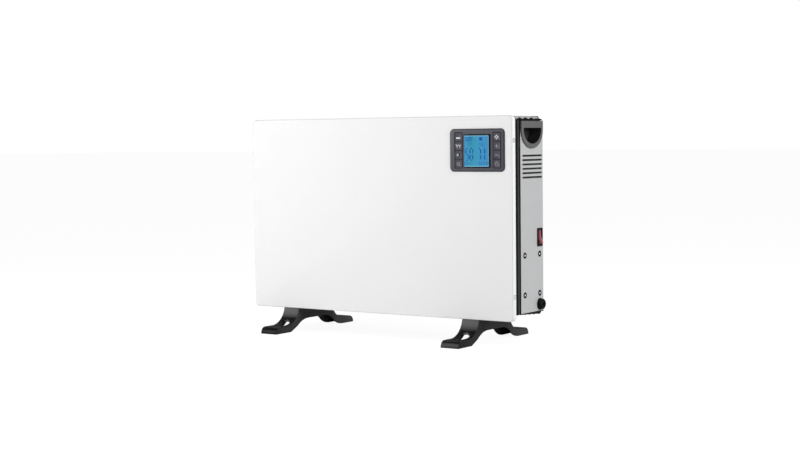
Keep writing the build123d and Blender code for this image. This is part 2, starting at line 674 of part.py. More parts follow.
def bottom_grille():
    """Black inlet grille: a plate with flat lands for the feet and slats that hang lower to the rear."""
    start, end = FRAME_Y + CROWN_BAR, BACK_Y - CROWN_BAR
    grille = block((-SIDE_X, SIDE_X), (FRAME_Y, BACK_Y), (BODY_BOTTOM, SIDE_BOTTOM))
    grille -= block((-INLET_X, INLET_X), (start, end), (BODY_BOTTOM - 1, SIDE_BOTTOM + 1))
    middles, width = slat_row(start, end, INLET_GAP)
    step = (INLET_HANG - GRILLE_PLATE) / WAVE_COUNT
    outer_x = INLET_X + FOOT_ZONE
    reaches = ((-SIDE_X, -outer_x), (-INLET_X, INLET_X), (outer_x, SIDE_X))
    for place, y in enumerate(middles):
        slat = hanging_wave(y, width, GRILLE_PLATE + (place + 1) * step)
        grille += [along_x(slat, *reach) for reach in reaches]
    grille += ribs_between(spread(INLET_RIBS, INLET_X / 2), middles, width, (BODY_BOTTOM, SIDE_BOTTOM))
    for seat in foot_screw_seats():
        hole = screw_hole(FOOT_SCREW, seat, (0, 0, -1))
        grille -= [hole, mirrored(hole)]
    return grille


def base_plate():
    """Steel floor of the body, open over the inlet slats, to which the feet are screwed."""
    plate = block((-INNER_X, INNER_X), (FRAME_Y + SIDE_SHEET, COVER_Y), (SIDE_BOTTOM, BASE_TOP))
    plate -= block((-INLET_X, INLET_X), (FRAME_Y + CROWN_BAR, BACK_Y - CROWN_BAR),
                   (SIDE_BOTTOM - 1, BASE_TOP + 1))
    for seat in foot_screw_seats():
        hole = screw_hole(FOOT_SCREW, seat, (0, 0, -1))
        plate -= [hole, mirrored(hole)]
    return plate


def keyhole(x, z):
    """A hole for a wall screw's head with a slot above it for the shank."""
    slot = Pos(x, z + KEYHOLE_SLOT / 2) * Rectangle(KEYHOLE_SLOT_WIDTH, KEYHOLE_SLOT)
    return Pos(x, z) * Circle(KEYHOLE_R) + slot


def rear_cover():
    """Sheet back with two rows of air slots, keyholes above and round fixing holes below."""
    end = COVER_Y + COVER_SHEET
    cover = block((-INNER_X, INNER_X), (COVER_Y, end), (BASE_TOP, SIDE_TOP - CROWN_SKIRT))
    cuts = []
    for middle in (SIDE_BOTTOM + COVER_SLOT_ENDS, SIDE_TOP - COVER_SLOT_ENDS):
        for place in range(COVER_SLOTS):
            x = (place - (COVER_SLOTS - 1) / 2) * COVER_SLOT_PITCH
            cuts.append(Pos(x, middle) * Rectangle(COVER_SLOT_WIDTH, COVER_SLOT_LENGTH))
    for side in (-1, 1):
        x = side * WALL_SPACING / 2
        cuts.append(Pos(x, SIDE_BOTTOM + WALL_HOLE_RISE) * Circle(WALL_HOLE_R))
        cuts.append(keyhole(x, SIDE_TOP - KEYHOLE_DROP))
    for cut in cuts:
        cover -= along_y(cut, COVER_Y - 1, end + 1)
    low, high = SIDE_BOTTOM + 2 * COVER_SLOT_ENDS, SIDE_TOP - 2 * COVER_SLOT_ENDS
    slope = BEAD_WIDTH / 4
    for x in (-PANEL_WIDTH / 4, PANEL_WIDTH / 4):
        bead = Polyline((x - BEAD_WIDTH / 2, COVER_Y), (x - BEAD_WIDTH / 2 + slope, COVER_Y - BEAD_DEPTH),
                        (x + BEAD_WIDTH / 2 - slope, COVER_Y - BEAD_DEPTH), (x + BEAD_WIDTH / 2, COVER_Y),
                        close=True)
        cover += along_z(make_face(bead), low, high)
    for seat in rear_screw_seats():
        hole = screw_hole(REAR_SCREW, seat, (0, 1, 0))
        cover -= [hole, mirrored(hole)]
    return cover


def rear_screws():
    return both_sides([screw(REAR_SCREW, seat, (0, 1, 0)) for seat in rear_screw_seats()])


def at_control(profile):
    return Pos(CONTROL_X, CONTROL_Z) * profile


def at_display(width, height):
    """A rectangle round the display's centre."""
    return at_control(Pos(CONTENT_SHIFT, 0) * Rectangle(width, height))


def key_places():
    """Centre of each key, from the control panel's centre, with its name."""
    left = ("key_display", "key_swing", "key_night", "key_settings")
    right = ("key_mode", "key_plus", "key_minus", "key_power")
    places = []
    for side, names in ((-1, left), (1, right)):
        for row, name in enumerate(names):
            x = CONTENT_SHIFT + side * KEY_COLUMN
            places.append((name, x, ((KEY_ROWS - 1) / 2 - row) * KEY_PITCH))
    return places


def control_posts(start, end):
    """Four square posts in the corners of the window."""
    x, z = WINDOW_WIDTH / 2 - SEAT_GAP - POST / 2, WINDOW_HEIGHT / 2 - SEAT_GAP - POST / 2
    return [along_y(at_control(Pos(sx * x, sz * z) * Rectangle(POST, POST)), start, end)
            for sx in (-1, 1) for sz in (-1, 1)]


def window_insert():
    """Outline of what drops into the window."""
    return at_control(Rectangle(WINDOW_WIDTH - 2 * SEAT_GAP, WINDOW_HEIGHT - 2 * SEAT_GAP))


def control_bezel():
    """Moulded surround that sits in the window and guides the keys."""
    face = at_control(RectangleRounded(CONTROL_WIDTH, CONTROL_HEIGHT, CONTROL_CORNER_R))
    bezel = along_y(face, BEZEL_Y, FACE_Y)
    bezel = chamfer(sharp_edges(bezel, Axis.Y, BEZEL_Y), BEZEL_EDGE)
    end = FACE_Y + BEZEL_BACK
    bezel += along_y(window_insert(), FACE_Y, end)
    bezel += control_posts(end, BOARD_Y)
    seat = at_display(LENS_WIDTH + 2 * KEY_GAP, LENS_HEIGHT + 2 * KEY_GAP)
    bezel -= along_y(seat, BEZEL_Y - 1, BEZEL_Y + LENS_SUNK + LENS_THICK)
    sight = at_display(LENS_WIDTH - 2 * LENS_LEDGE, LENS_HEIGHT - 2 * LENS_LEDGE)
    bezel -= along_y(sight, BEZEL_Y, end + 1)
    hole = KEY_SIZE + 2 * KEY_GAP
    for name, x, z in key_places():
        bezel -= along_y(at_control(Pos(x, z) * Rectangle(hole, hole)), BEZEL_Y - 1, end + 1)
    return bezel


def lcd_lens():
    front = BEZEL_Y + LENS_SUNK
    return along_y(at_display(LENS_WIDTH, LENS_HEIGHT), front, front + LENS_THICK)


def lcd_module():
    """Display between the bezel's back and the control board."""
    width, height = LENS_WIDTH + 2 * DISPLAY_MARGIN, LENS_HEIGHT + 2 * DISPLAY_MARGIN
    return along_y(at_display(width, height), FACE_Y + BEZEL_BACK, BOARD_Y)


def key(x, z):
    """A key cap with the lip that keeps it behind the bezel and the stem that presses its switch."""
    front = BEZEL_Y - KEY_PROUD
    place = Pos(CONTROL_X + x, CONTROL_Z + z)
    cap = along_y(place * Rectangle(KEY_SIZE, KEY_SIZE), front, KEY_LIP_Y)
    cap = chamfer(sharp_edges(cap, Axis.Y, front), KEY_PROUD / 2)
    lip = KEY_SIZE + 2 * (KEY_GAP + KEY_LIP)
    lip_end = KEY_LIP_Y + KEY_LIP_THICK
    cap += along_y(place * Rectangle(lip, lip), KEY_LIP_Y, lip_end)
    return cap + along_y(place * Rectangle(KEY_STEM_WIDTH, KEY_STEM_WIDTH), lip_end, KEY_END_Y)


def key_switches():
    """Eight push switches on the control board."""
    switches = []
    for name, x, z in key_places():
        place = Pos(CONTROL_X + x, CONTROL_Z + z)
        body = along_y(place * Rectangle(SWITCH_SIZE, SWITCH_SIZE), BOARD_Y - SWITCH_BODY, BOARD_Y)
        plunger = place * Rectangle(PLUNGER_WIDTH, PLUNGER_WIDTH)
        switches.append(body + along_y(plunger, PLUNGER_Y, BOARD_Y - SWITCH_BODY))
    return Compound(children=switches)


def control_board():
    return along_y(window_insert(), BOARD_Y, BOARD_Y + BOARD_THICK)


def control_box():
    """Housing behind the window that holds the board against the bezel's posts."""
    start = FACE_Y + PANEL_SHEET
    end = start + BOX_DEPTH
    width, height = WINDOW_WIDTH + 2 * BOX_WALL, WINDOW_HEIGHT + 2 * BOX_WALL
    flange = Rectangle(width + 2 * BOX_WALL, height + 2 * BOX_WALL)
    box = along_y(at_control(Rectangle(width, height)), start, end)
    box += along_y(at_control(flange), start, start + BOX_FLANGE)
    box -= along_y(at_control(Rectangle(WINDOW_WIDTH, WINDOW_HEIGHT)), start - 1, end - BOX_WALL)
    return box + control_posts(BOARD_Y + BOARD_THICK, end - BOX_WALL)


def at_rocker(profile):
    return Pos(REAR_COLUMN_Y, ROCKER_Z) * profile


def rocker_housing():
    """Black case of the mains switch, clipped into the right side panel."""
    case = along_x(at_rocker(Rectangle(ROCKER_WIDTH, ROCKER_HEIGHT)), SIDE_X, SIDE_X + ROCKER_BEZEL)
    case = chamfer(sharp_edges(case, Axis.X, SIDE_X + ROCKER_BEZEL), ROCKER_BEZEL / 4)
    body = Rectangle(ROCKER_WIDTH - 2 * ROCKER_BEZEL, ROCKER_HEIGHT - 2 * ROCKER_BEZEL)
    inner = SIDE_X - ROCKER_BODY_DEPTH
    case += along_x(at_rocker(body), inner, SIDE_X)
    cavity = Rectangle(PADDLE_WIDTH + 2 * PADDLE_CLEAR, 2 * (PADDLE_R + PADDLE_CLEAR))
    case -= along_x(at_rocker(cavity), inner + ROCKER_FLOOR, SIDE_X + 5)
    reach = PADDLE_WIDTH / 2 + TRUNNION_REACH + RUN_GAP
    pivot = Pos(PIVOT_X, ROCKER_Z) * Circle(TRUNNION_R + RUN_GAP)
    return case - along_y(pivot, REAR_COLUMN_Y - reach, REAR_COLUMN_Y + reach)


def rocker_paddle():
    """Red rocker, drawn at mid travel about its pivot and then turned to its pressed-in top."""
    half = PADDLE_R
    face = make_face(Polyline((-PADDLE_BACK, -half), (PADDLE_TIP, -half), (PADDLE_DISH, 0),
                              (PADDLE_TIP, half), (-PADDLE_BACK, half), close=True))
    side = face & Circle(PADDLE_R)
    width = PADDLE_WIDTH / 2
    paddle = along_y(side, -width, width)
    paddle += along_y(Circle(TRUNNION_R), -width - TRUNNION_REACH, width + TRUNNION_REACH)
    return Pos(PIVOT_X, REAR_COLUMN_Y, ROCKER_Z) * Rot(0, -PADDLE_TILT, 0) * paddle


def rocker_terminals():
    """Push-on tabs behind the mains switch."""
    width, thick, length = SPADE
    inner = SIDE_X - ROCKER_BODY_DEPTH
    tab = Rectangle(width, thick)
    return Compound(children=[along_x(at_rocker(Pos(0, step * SPADE_PITCH) * tab), inner - length, inner)
                              for step in (-1, 0, 1)])


def at_gland(profile):
    return Pos(REAR_COLUMN_Y, GLAND_Z) * profile


def cable_gland():
    """Round black entry for the mains cable, snapped into the side panel."""
    dome = along_x(at_gland(Circle(GLAND_R)), SIDE_X, SIDE_X + GLAND_REACH)
    tail = along_x(at_gland(RegularPolygon(GLAND_TAIL_R, SHANK_SIDES)), SIDE_X - GLAND_TAIL, SIDE_X)
    bore = along_x(at_gland(Circle(GLAND_BORE_R)), SIDE_X - 2 * GLAND_TAIL, SIDE_X + 2 * GLAND_REACH)
    return dome + tail - bore


def element_section():
    """Cross of four arms, each with short fins across it, round a hub with a square hole."""
    arm = Pos(ARM_LENGTH / 2, 0) * Rectangle(ARM_LENGTH, ARM_THICK)
    for place in range(FIN_COUNT):
        fin = Rectangle(FIN_THICK, FIN_LENGTH + place * FIN_GROWTH)
        arm += Pos(FIN_START + place * FIN_PITCH, 0) * fin
    section = Circle(HUB_R)
    for quarter in range(4):
        section += Rot(0, 0, 45 + 90 * quarter) * arm
    return section - Rectangle(HUB_HOLE, HUB_HOLE)


def heating_element():
    """One-piece aluminium extrusion that warms the rising air."""
    return along_x(at_element(element_section()), -ELEMENT_X, ELEMENT_X)


def at_element(profile):
    return Pos(DUCT_Y, ELEMENT_Z) * profile


def element_insulators():
    """Ceramic blocks that plug into the element's ends and rest in its supports."""
    side = HUB_HOLE - 2 * SCREW_GAP
    outer = SUPPORT_X + SUPPORT_SHEET + INSULATOR_TAIL
    stem = along_x(at_element(Rectangle(side, side)), ELEMENT_X - INSULATOR_DEEP, outer)
    collar = Rectangle(INSULATOR_COLLAR, INSULATOR_COLLAR)
    return both_sides([stem + along_x(at_element(collar), ELEMENT_X, SUPPORT_X)])


def element_terminals():
    """One push-on tab at each end of the element."""
    width, thick, length = SPADE
    inner = SUPPORT_X + SUPPORT_SHEET + INSULATOR_TAIL
    return both_sides([along_x(at_element(Rectangle(width, thick)), inner, inner + length)])


def element_support_right():
    """Folded steel support that stands on the base plate."""
    y = (DUCT_Y - SUPPORT_WIDTH / 2, DUCT_Y + SUPPORT_WIDTH / 2)
    web = block((SUPPORT_X, SUPPORT_X + SUPPORT_SHEET), y, (BASE_TOP, ELEMENT_Z + SUPPORT_ABOVE))
    web = chamfer(web.edges().filter_by(Axis.X).group_by(Axis.Z)[-1], SUPPORT_WIDTH / 6)
    foot = block((SUPPORT_X, SUPPORT_X + SUPPORT_FOOT), y, (BASE_TOP, BASE_TOP + SUPPORT_SHEET))
    return web + foot - along_x(at_element(Rectangle(HUB_HOLE, HUB_HOLE)), SUPPORT_X - 1, SUPPORT_X + 3)


def element_support_left():
    return mirrored(element_support_right())


def cutout_bracket():
    """Stepped strap on the heat shield that holds the thermal cut-out in the air stream."""
    z = (CUTOUT_Z - STRAP_WIDTH / 2, CUTOUT_Z + STRAP_WIDTH / 2)
    reach = CUTOUT_X + CUTOUT_R + 3
    start = FRAME_Y - FRAME_WALL
    end = start + CUTOUT_STANDOFF
    tab = block((reach, reach + STRAP_WIDTH), (start, start + SUPPORT_SHEET), z)
    step = block((reach - SUPPORT_SHEET, reach), (start, end), z)
    return tab + step + block((2 * CUTOUT_X - reach, reach), (end - SUPPORT_SHEET, end), z)


def thermal_cutout():
    """Disc thermostat with two tabs that opens the circuit when the duct overheats."""
    start = FRAME_Y - FRAME_WALL + CUTOUT_STANDOFF
    end = start + CUTOUT_THICK
    body = along_y(Pos(CUTOUT_X, CUTOUT_Z) * RegularPolygon(CUTOUT_R, HEAD_SIDES), start, end)
    width, thick, length = SPADE
    for x in (CUTOUT_X - CUTOUT_R / 2, CUTOUT_X + CUTOUT_R / 2):
        body += along_y(Pos(x, CUTOUT_Z) * Rectangle(thick, width), end, end + length / 2)
    return body


def tilt_case():
    """Case of the tip-over switch, open along its front."""
    depth, length, height = TILT_CASE
    outer = -BRACKET_X
    front, back = DUCT_Y - length / 2, DUCT_Y + length / 2
    case = block((outer, outer + depth), (front, back), (TILT_TOP - height, TILT_TOP))
    return case - block((outer + TILT_WALL, outer + depth - TILT_WALL), (front - 1, back - TILT_WALL),
                        (TILT_TOP - height + TILT_WALL, TILT_TOP - TILT_WALL))


def tilt_pin():
    """Round pin between the case's two walls."""
    outer = -BRACKET_X + TILT_WALL
    return along_x(Pos(DUCT_Y, TILT_PIN_Z) * Circle(TILT_PIN_R), outer, outer + TILT_CASE[0] - 2 * TILT_WALL)


def tilt_pendulum():
    """Weight that hangs from the pin and swings when the heater tips."""
    middle = -BRACKET_X + TILT_CASE[0] / 2
    at = Pos(DUCT_Y, TILT_PIN_Z)
    arm = Pos(0, (BOB_ARM - BOB_DROP) / 2) * Rectangle(2 * BOB_ARM, BOB_DROP + BOB_ARM)
    pendulum = along_x(at * arm, middle - BOB_ARM / 2, middle + BOB_ARM / 2)
    bob = at * Pos(0, -BOB_DROP) * RegularPolygon(BOB_R, HEAD_SIDES)
    pendulum += along_x(bob, middle - BOB_THICK / 2, middle + BOB_THICK / 2)
    return pendulum - along_x(at * Circle(TILT_PIN_R + RUN_GAP), middle - BOB_THICK, middle + BOB_THICK)


def foot_top_face():
    """Side view of all that lies under the foot's upper outline, carried down past the floor."""
    deep = -FOOT_TOP
    diagonal = 1 - 1 / math.sqrt(2)
    toe_r = TOE_HEIGHT - TOE_LIP
    heel_r = HEEL_HEIGHT - TOE_LIP
    neck_front = FACE_Y + NECK_FRONT
    step_y = FLANGE_Y + FOOT_GAP
    neck_rear = BACK_Y - NECK_REAR
    turn = math.acos(1 - (NECK_TOP - TOE_HEIGHT) / FRONT_SWEEP_R)
    sweep_y = neck_front - FRONT_SWEEP_R * math.sin(turn)
    sweep_middle = (sweep_y + FRONT_SWEEP_R * math.sin(turn / 2),
                    TOE_HEIGHT + FRONT_SWEEP_R * (1 - math.cos(turn / 2)))
    rear_middle = (neck_rear + REAR_SWEEP_R * diagonal, HEEL_HEIGHT + REAR_SWEEP_R * diagonal)
    lines = [
        Line((TOE_Y, deep), (TOE_Y, TOE_LIP)),
        ThreePointArc((TOE_Y, TOE_LIP), (TOE_Y + toe_r * diagonal, TOE_HEIGHT - toe_r * diagonal),
                      (TOE_Y + toe_r, TOE_HEIGHT)),
        Line((TOE_Y + toe_r, TOE_HEIGHT), (sweep_y, TOE_HEIGHT)),
        ThreePointArc((sweep_y, TOE_HEIGHT), sweep_middle, (neck_front, NECK_TOP)),
        Polyline((neck_front, NECK_TOP), (step_y, NECK_TOP), (step_y, FOOT_TOP), (neck_rear, FOOT_TOP),
                 (neck_rear, HEEL_HEIGHT + REAR_SWEEP_R)),
        ThreePointArc((neck_rear, HEEL_HEIGHT + REAR_SWEEP_R), rear_middle,
                      (neck_rear + REAR_SWEEP_R, HEEL_HEIGHT)),
        Line((neck_rear + REAR_SWEEP_R, HEEL_HEIGHT), (HEEL_Y - heel_r, HEEL_HEIGHT)),
        ThreePointArc((HEEL_Y - heel_r, HEEL_HEIGHT),
                      (HEEL_Y - heel_r * diagonal, HEEL_HEIGHT - heel_r * diagonal), (HEEL_Y, TOE_LIP)),
        Polyline((HEEL_Y, TOE_LIP), (HEEL_Y, deep), (TOE_Y, deep)),
    ]
    return make_face(Curve(children=lines).wires())


def foot_arch_face():
    """Side view of the space below the foot: the arch and all that is under the floor."""
    start, end = FACE_Y - ARCH_AHEAD, BACK_Y + ARCH_BEHIND

    def spot(along, up):
        """A point at shares of the arch's span and height."""
        return start + along * (end - start), up * ARCH_HEIGHT

    ramp_front, crown_front = spot(0.14, 0.44), spot(0.37, 1)
    crown_rear, ramp_rear = spot(0.71, 1), spot(0.89, 0.57)
    arch = [
        Line(spot(0, 0), ramp_front),
        ThreePointArc(ramp_front, spot(0.24, 0.84), crown_front),
        Line(crown_front, crown_rear),
        ThreePointArc(crown_rear, spot(0.81, 0.88), ramp_rear),
        ThreePointArc(ramp_rear, spot(0.975, 0.16), spot(1.08, 0)),
        Line(spot(1.08, 0), spot(0, 0)),
    ]
    below = Pos(0, -FOOT_TOP) * Rectangle(2 * FOOT_LENGTH, 2 * FOOT_TOP)
    return make_face(Curve(children=arch).wires()) + below


def foot_plan(inset):
    """Plan of the right foot, narrowest in the middle, smaller all round by inset."""
    end, waist, reach = FOOT_WIDTH / 2 - inset, NECK_WIDTH / 2 - inset, FOOT_LENGTH / 2 - inset
    right = [(end, -reach), (waist, 0), (end, reach)]
    left = [(-x, y) for x, y in reversed(right)]
    return Pos(FOOT_X, 0) * make_face(Polyline(*right, *left, close=True))


def foot_drop():
    """Plan of the drop-shaped hole: a round end with tangents that meet at the tip."""
    tip = TOE_Y + DROP_START
    centre = tip + DROP_LENGTH - DROP_R
    reach = centre - tip
    touch_x = DROP_R * math.sqrt(1 - (DROP_R / reach) ** 2)
    touch_y = centre - DROP_R ** 2 / reach
    wedge = make_face(Polyline((0, tip), (touch_x, touch_y), (-touch_x, touch_y), close=True))
    return Pos(FOOT_X, 0) * (wedge + Pos(0, centre) * Circle(DROP_R))


def foot_right():
    """Moulded foot: an arched, waisted shell, open below, with a drop-shaped hole in its front slope."""
    top, arch = foot_top_face(), foot_arch_face()
    low, high = FOOT_X - FOOT_WIDTH, FOOT_X + FOOT_WIDTH
    foot = along_x(top - arch, low, high) & along_z(foot_plan(0), -1, FOOT_TOP + 1)
    hollow = along_x(offset(top, -FOOT_WALL), low, high) & along_z(foot_plan(FOOT_WALL), -FOOT_TOP, FOOT_TOP)
    foot -= hollow
    foot -= along_z(foot_drop(), -1, FOOT_TOP)
    for seat in foot_screw_seats():
        foot -= screw_hole(FOOT_SCREW, seat, (0, 0, -1))
    return foot


def foot_left():
    return mirrored(foot_right())


def foot_screws():
    return both_sides([screw(FOOT_SCREW, seat, (0, 0, -1)) for seat in foot_screw_seats()])


PIECES = (front_panel, panel_screws, chassis_frame, heat_shield, side_panel_right, side_panel_left,
          screw_washers, side_screws, side_bracket_right, power_board, power_relay, filter_capacitor,
          terminal_block, top_frame, top_grille, bottom_grille, base_plate, rear_cover, rear_screws,
          handle_right, control_bezel, lcd_lens, lcd_module, key_switches, control_board, control_box,
          rocker_housing, rocker_paddle, rocker_terminals, cable_gland, heating_element,
          element_insulators, element_terminals, element_support_right, element_support_left,
          cutout_bracket, thermal_cutout, tilt_case, tilt_pin, tilt_pendulum, foot_right, foot_left,
          foot_screws)

nodes = {make.__name__: make() for make in PIECES}
nodes["handle_left"] = mirrored(nodes["handle_right"])
nodes["side_bracket_left"] = mirrored(side_bracket())
for name, x, z in key_places():
    nodes[name] = key(x, z)

os.makedirs("parts", exist_ok=True)
for name, shape in nodes.items():
    export_step(shape, f"parts/{name}.step")
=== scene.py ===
import json
import math
import bmesh
import bpy
from mathutils import Matrix, Vector

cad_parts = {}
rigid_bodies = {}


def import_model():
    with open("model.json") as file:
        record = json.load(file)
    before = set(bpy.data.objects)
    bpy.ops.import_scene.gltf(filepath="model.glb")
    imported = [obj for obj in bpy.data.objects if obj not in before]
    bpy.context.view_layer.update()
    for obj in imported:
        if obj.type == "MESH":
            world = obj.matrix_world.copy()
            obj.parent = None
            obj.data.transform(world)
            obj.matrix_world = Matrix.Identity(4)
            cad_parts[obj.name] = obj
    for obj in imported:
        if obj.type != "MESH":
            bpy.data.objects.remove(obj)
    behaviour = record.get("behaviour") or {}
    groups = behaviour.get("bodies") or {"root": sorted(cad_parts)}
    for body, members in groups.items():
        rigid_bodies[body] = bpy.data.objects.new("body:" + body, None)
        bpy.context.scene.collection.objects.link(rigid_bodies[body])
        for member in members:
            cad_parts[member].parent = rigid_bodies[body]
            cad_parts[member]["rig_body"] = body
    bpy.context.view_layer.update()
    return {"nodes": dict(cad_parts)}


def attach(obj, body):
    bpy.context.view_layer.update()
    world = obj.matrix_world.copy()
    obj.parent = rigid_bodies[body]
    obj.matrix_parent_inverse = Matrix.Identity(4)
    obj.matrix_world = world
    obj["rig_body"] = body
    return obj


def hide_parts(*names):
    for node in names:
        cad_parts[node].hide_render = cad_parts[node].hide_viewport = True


# Looks of the panel convector heater. Sizes and places are in millimetres in the frame's axes, and
# a mesh is brought to metres when it is linked. +X is right of the front, +Y goes back, +Z is up.

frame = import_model()
scene = bpy.context.scene
NODES = frame["nodes"]
HEATER = "heater_body"
MM = 0.001
X, Y, Z = range(3)


def span(node, axis):
    """The least and the greatest coordinate of a CAD node along one axis."""
    values = [vertex.co[axis] / MM for vertex in NODES[node].data.vertices]
    return round(min(values), 3), round(max(values), 3)


def centre(node, axis):
    """The middle of a CAD node along one axis."""
    return sum(span(node, axis)) / 2


def ends(node, axis, radius):
    """Middles of the first and the last of a node's round parts along one axis."""
    low, high = span(node, axis)
    return low + radius, high - radius


# Places and sizes of the CAD nodes that the pieces are fitted to
FACE_Y, FLANGE_Y = span("front_panel", Y)
PANEL_X = span("front_panel", X)[1]
PANEL_BOTTOM, PANEL_TOP = span("front_panel", Z)
FRAME_Y, BACK_Y = span("side_panel_right", Y)
SIDE_X = span("side_panel_right", X)[1]
SIDE_BOTTOM, SIDE_TOP = span("side_panel_right", Z)
CROWN_TOP = span("top_grille", Z)[0]
SLATS_X = span("top_grille", X)[1]
SLATS_FRONT, SLATS_BACK = span("top_grille", Y)
COVER_X = span("rear_cover", X)[1]
COVER_Y = span("rear_cover", Y)[1]
COVER_BOTTOM, COVER_TOP = span("rear_cover", Z)
CONTROL = (centre("control_bezel", X), centre("control_bezel", Z))
CONTROL_WIDTH = 2 * (span("control_bezel", X)[1] - CONTROL[0])
CONTROL_HEIGHT = 2 * (span("control_bezel", Z)[1] - CONTROL[1])
BEZEL_Y = span("control_bezel", Y)[0]
KEY_FRONT = span("key_power", Y)[0]
# Names of the keys from top to bottom
KEY_COLUMNS = {"left": ("key_display", "key_swing", "key_night", "key_settings"),
               "right": ("key_mode", "key_plus", "key_minus", "key_power")}
KEYS = {name: (centre(name, X), centre(name, Z)) for names in KEY_COLUMNS.values() for name in names}
HANDLE_BACK, HANDLE_FACE = span("handle_right", X)
HANDLE_Y = centre("handle_right", Y)
HANDLE_WIDTH = 2 * (span("handle_right", Y)[1] - HANDLE_Y)
HANDLE_BOTTOM, HANDLE_TOP = span("handle_right", Z)
SWITCH = (centre("rocker_housing", Y), centre("rocker_housing", Z))
GLAND = (centre("cable_gland", Y), centre("cable_gland", Z))

# Sizes that more than one piece shares
SIGHT = (CONTROL[0] + 1.2, CONTROL[1] - 1.5)  # middle of the display
OPENING_WIDTH, OPENING_HEIGHT = CONTROL_WIDTH - 8, CONTROL_HEIGHT - 8  # in the front panel
PANE_WIDTH, PANE_HEIGHT, PANE_CORNER = 56.6, 61.4, 1.6  # the display's window
PANE_FACE, WELL_FLOOR = BEZEL_Y + 0.1, BEZEL_Y + 1.0
LIT_WIDTH, LIT_HEIGHT = 50.2, 54.2  # the display's front behind its window
KEY_DISH = 0.12  # depth of the hollow in a key's face
POCKET_WIDTH, POCKET_HEIGHT, POCKET_TOP = 65.4, 28.8, HANDLE_TOP - 13.8
POCKET_STRAIGHT = 3.0  # the pocket's sides above its bowl
POCKET_SHIFT = 1.2  # from the handle's middle to the back
SLAT_LAND = 1.0  # height of a slat's edges over the crown


# Materials

def node_tree(name):
    """A new material with its nodes and its shader."""
    material = bpy.data.materials.new(name)
    material.use_nodes = True
    tree = material.node_tree
    return material, tree, tree.nodes["Principled BSDF"]


def noise(tree, scale, detail=2.0, stretch=(1, 1, 1), offset=(0, 0, 0)):
    """Noise in object space, with the scale in features per metre."""
    place = tree.nodes.new("ShaderNodeTexCoord")
    mapping = tree.nodes.new("ShaderNodeMapping")
    mapping.inputs["Scale"].default_value = stretch
    mapping.inputs["Location"].default_value = offset
    texture = tree.nodes.new("ShaderNodeTexNoise")
    texture.inputs["Scale"].default_value = scale
    texture.inputs["Detail"].default_value = detail
    texture.inputs["Roughness"].default_value = 0.6
    tree.links.new(place.outputs["Object"], mapping.inputs["Vector"])
    tree.links.new(mapping.outputs["Vector"], texture.inputs["Vector"])
    return texture.outputs["Fac"]


def ramp(tree, source, stops):
    """A colour for each value of the source, from stops of a position and a colour."""
    node = tree.nodes.new("ShaderNodeValToRGB")
    elements = node.color_ramp.elements
    while len(elements) > 1:
        elements.remove(elements[-1])
    elements[0].position = stops[0][0]
    elements[0].color = (*stops[0][1], 1)
    for position, colour in stops[1:]:
        elements.new(position).color = (*colour, 1)
    tree.links.new(source, node.inputs["Fac"])
    return node.outputs["Color"]


def remap(tree, source, low, high, start=0.0, end=1.0):
    """A value that goes from start to end as the source goes from low to high."""
    node = tree.nodes.new("ShaderNodeMapRange")
    node.inputs["From Min"].default_value = low
    node.inputs["From Max"].default_value = high
    node.inputs["To Min"].default_value = start
    node.inputs["To Max"].default_value = end
    tree.links.new(source, node.inputs["Value"])
    return node.outputs["Result"]


def combine(tree, operation, a, b=0.0):
    """The result of an operation on one or two values, each a number or a socket."""
    node = tree.nodes.new("ShaderNodeMath")
    node.operation = operation
    for index, value in enumerate((a, b)):
        if isinstance(value, (int, float)):
            node.inputs[index].default_value = value
        else:
            tree.links.new(value, node.inputs[index])
    return node.outputs["Value"]


def along(tree, axis):
    """A surface point's coordinate along one axis, in mm."""
    place = tree.nodes.new("ShaderNodeTexCoord")
    parts = tree.nodes.new("ShaderNodeSeparateXYZ")
    tree.links.new(place.outputs["Object"], parts.inputs["Vector"])
    return combine(tree, "MULTIPLY", parts.outputs[axis], 1 / MM)


def apart(tree, axis, plane):
    """How far a surface point lies from a plane across one axis, in mm."""
    return combine(tree, "ABSOLUTE", combine(tree, "SUBTRACT", along(tree, axis), plane))


def facing(tree, axis):
    """One part of the surface's normal."""
    normal = tree.nodes.new("ShaderNodeNewGeometry")
    parts = tree.nodes.new("ShaderNodeSeparateXYZ")
    tree.links.new(normal.outputs["Normal"], parts.inputs["Vector"])
    return parts.outputs[axis]


# Masks: the share of a material's second colour at each place

def painted_gap_shade(tree):
    """Painted shade in the front and rear band of the black strip, where the gaps beside it lie, and at
    its upper end.
    """
    y = along(tree, "Y")
    front = remap(tree, y, FRAME_Y - 9.8, FRAME_Y - 10.4)
    rear = remap(tree, y, FRAME_Y - 3.2, FRAME_Y - 2.6)
    upper = remap(tree, along(tree, "Z"), SIDE_TOP - 0.2, SIDE_TOP + 0.8)
    return combine(tree, "MAXIMUM", combine(tree, "MAXIMUM", front, rear), upper)


def painted_pocket_shade(tree):
    """Painted shade on all of the handle that lies behind the cap's face, less of it on the pocket's
    floor.
    """
    depth = apart(tree, "X", 0.0)
    walls = remap(tree, depth, HANDLE_FACE - 0.4, HANDLE_FACE - 1.1)
    slant = combine(tree, "ADD", depth, combine(tree, "MULTIPLY", along(tree, "Y"), 0.12))
    floor = remap(tree, slant, HANDLE_BACK + 9.5, HANDLE_BACK + 3.5)
    return combine(tree, "SUBTRACT", walls, combine(tree, "MULTIPLY", floor, 0.6))


def at_rim(tree):
    """The outer edge of the control panel."""
    rim = 1.8
    wide = combine(tree, "SUBTRACT", apart(tree, "X", CONTROL[0]), CONTROL_WIDTH / 2 - rim)
    high = combine(tree, "SUBTRACT", apart(tree, "Z", CONTROL[1]), CONTROL_HEIGHT / 2 - rim)
    return remap(tree, combine(tree, "MAXIMUM", wide, high), -0.4, 0.6)


def painted_fold_shade(tree):
    """Painted shade along the rounded fold between the face of the front panel and its flanges."""
    y = facing(tree, "Y")
    return combine(tree, "MULTIPLY", remap(tree, y, -0.97, -0.88), remap(tree, y, -0.15, -0.35))


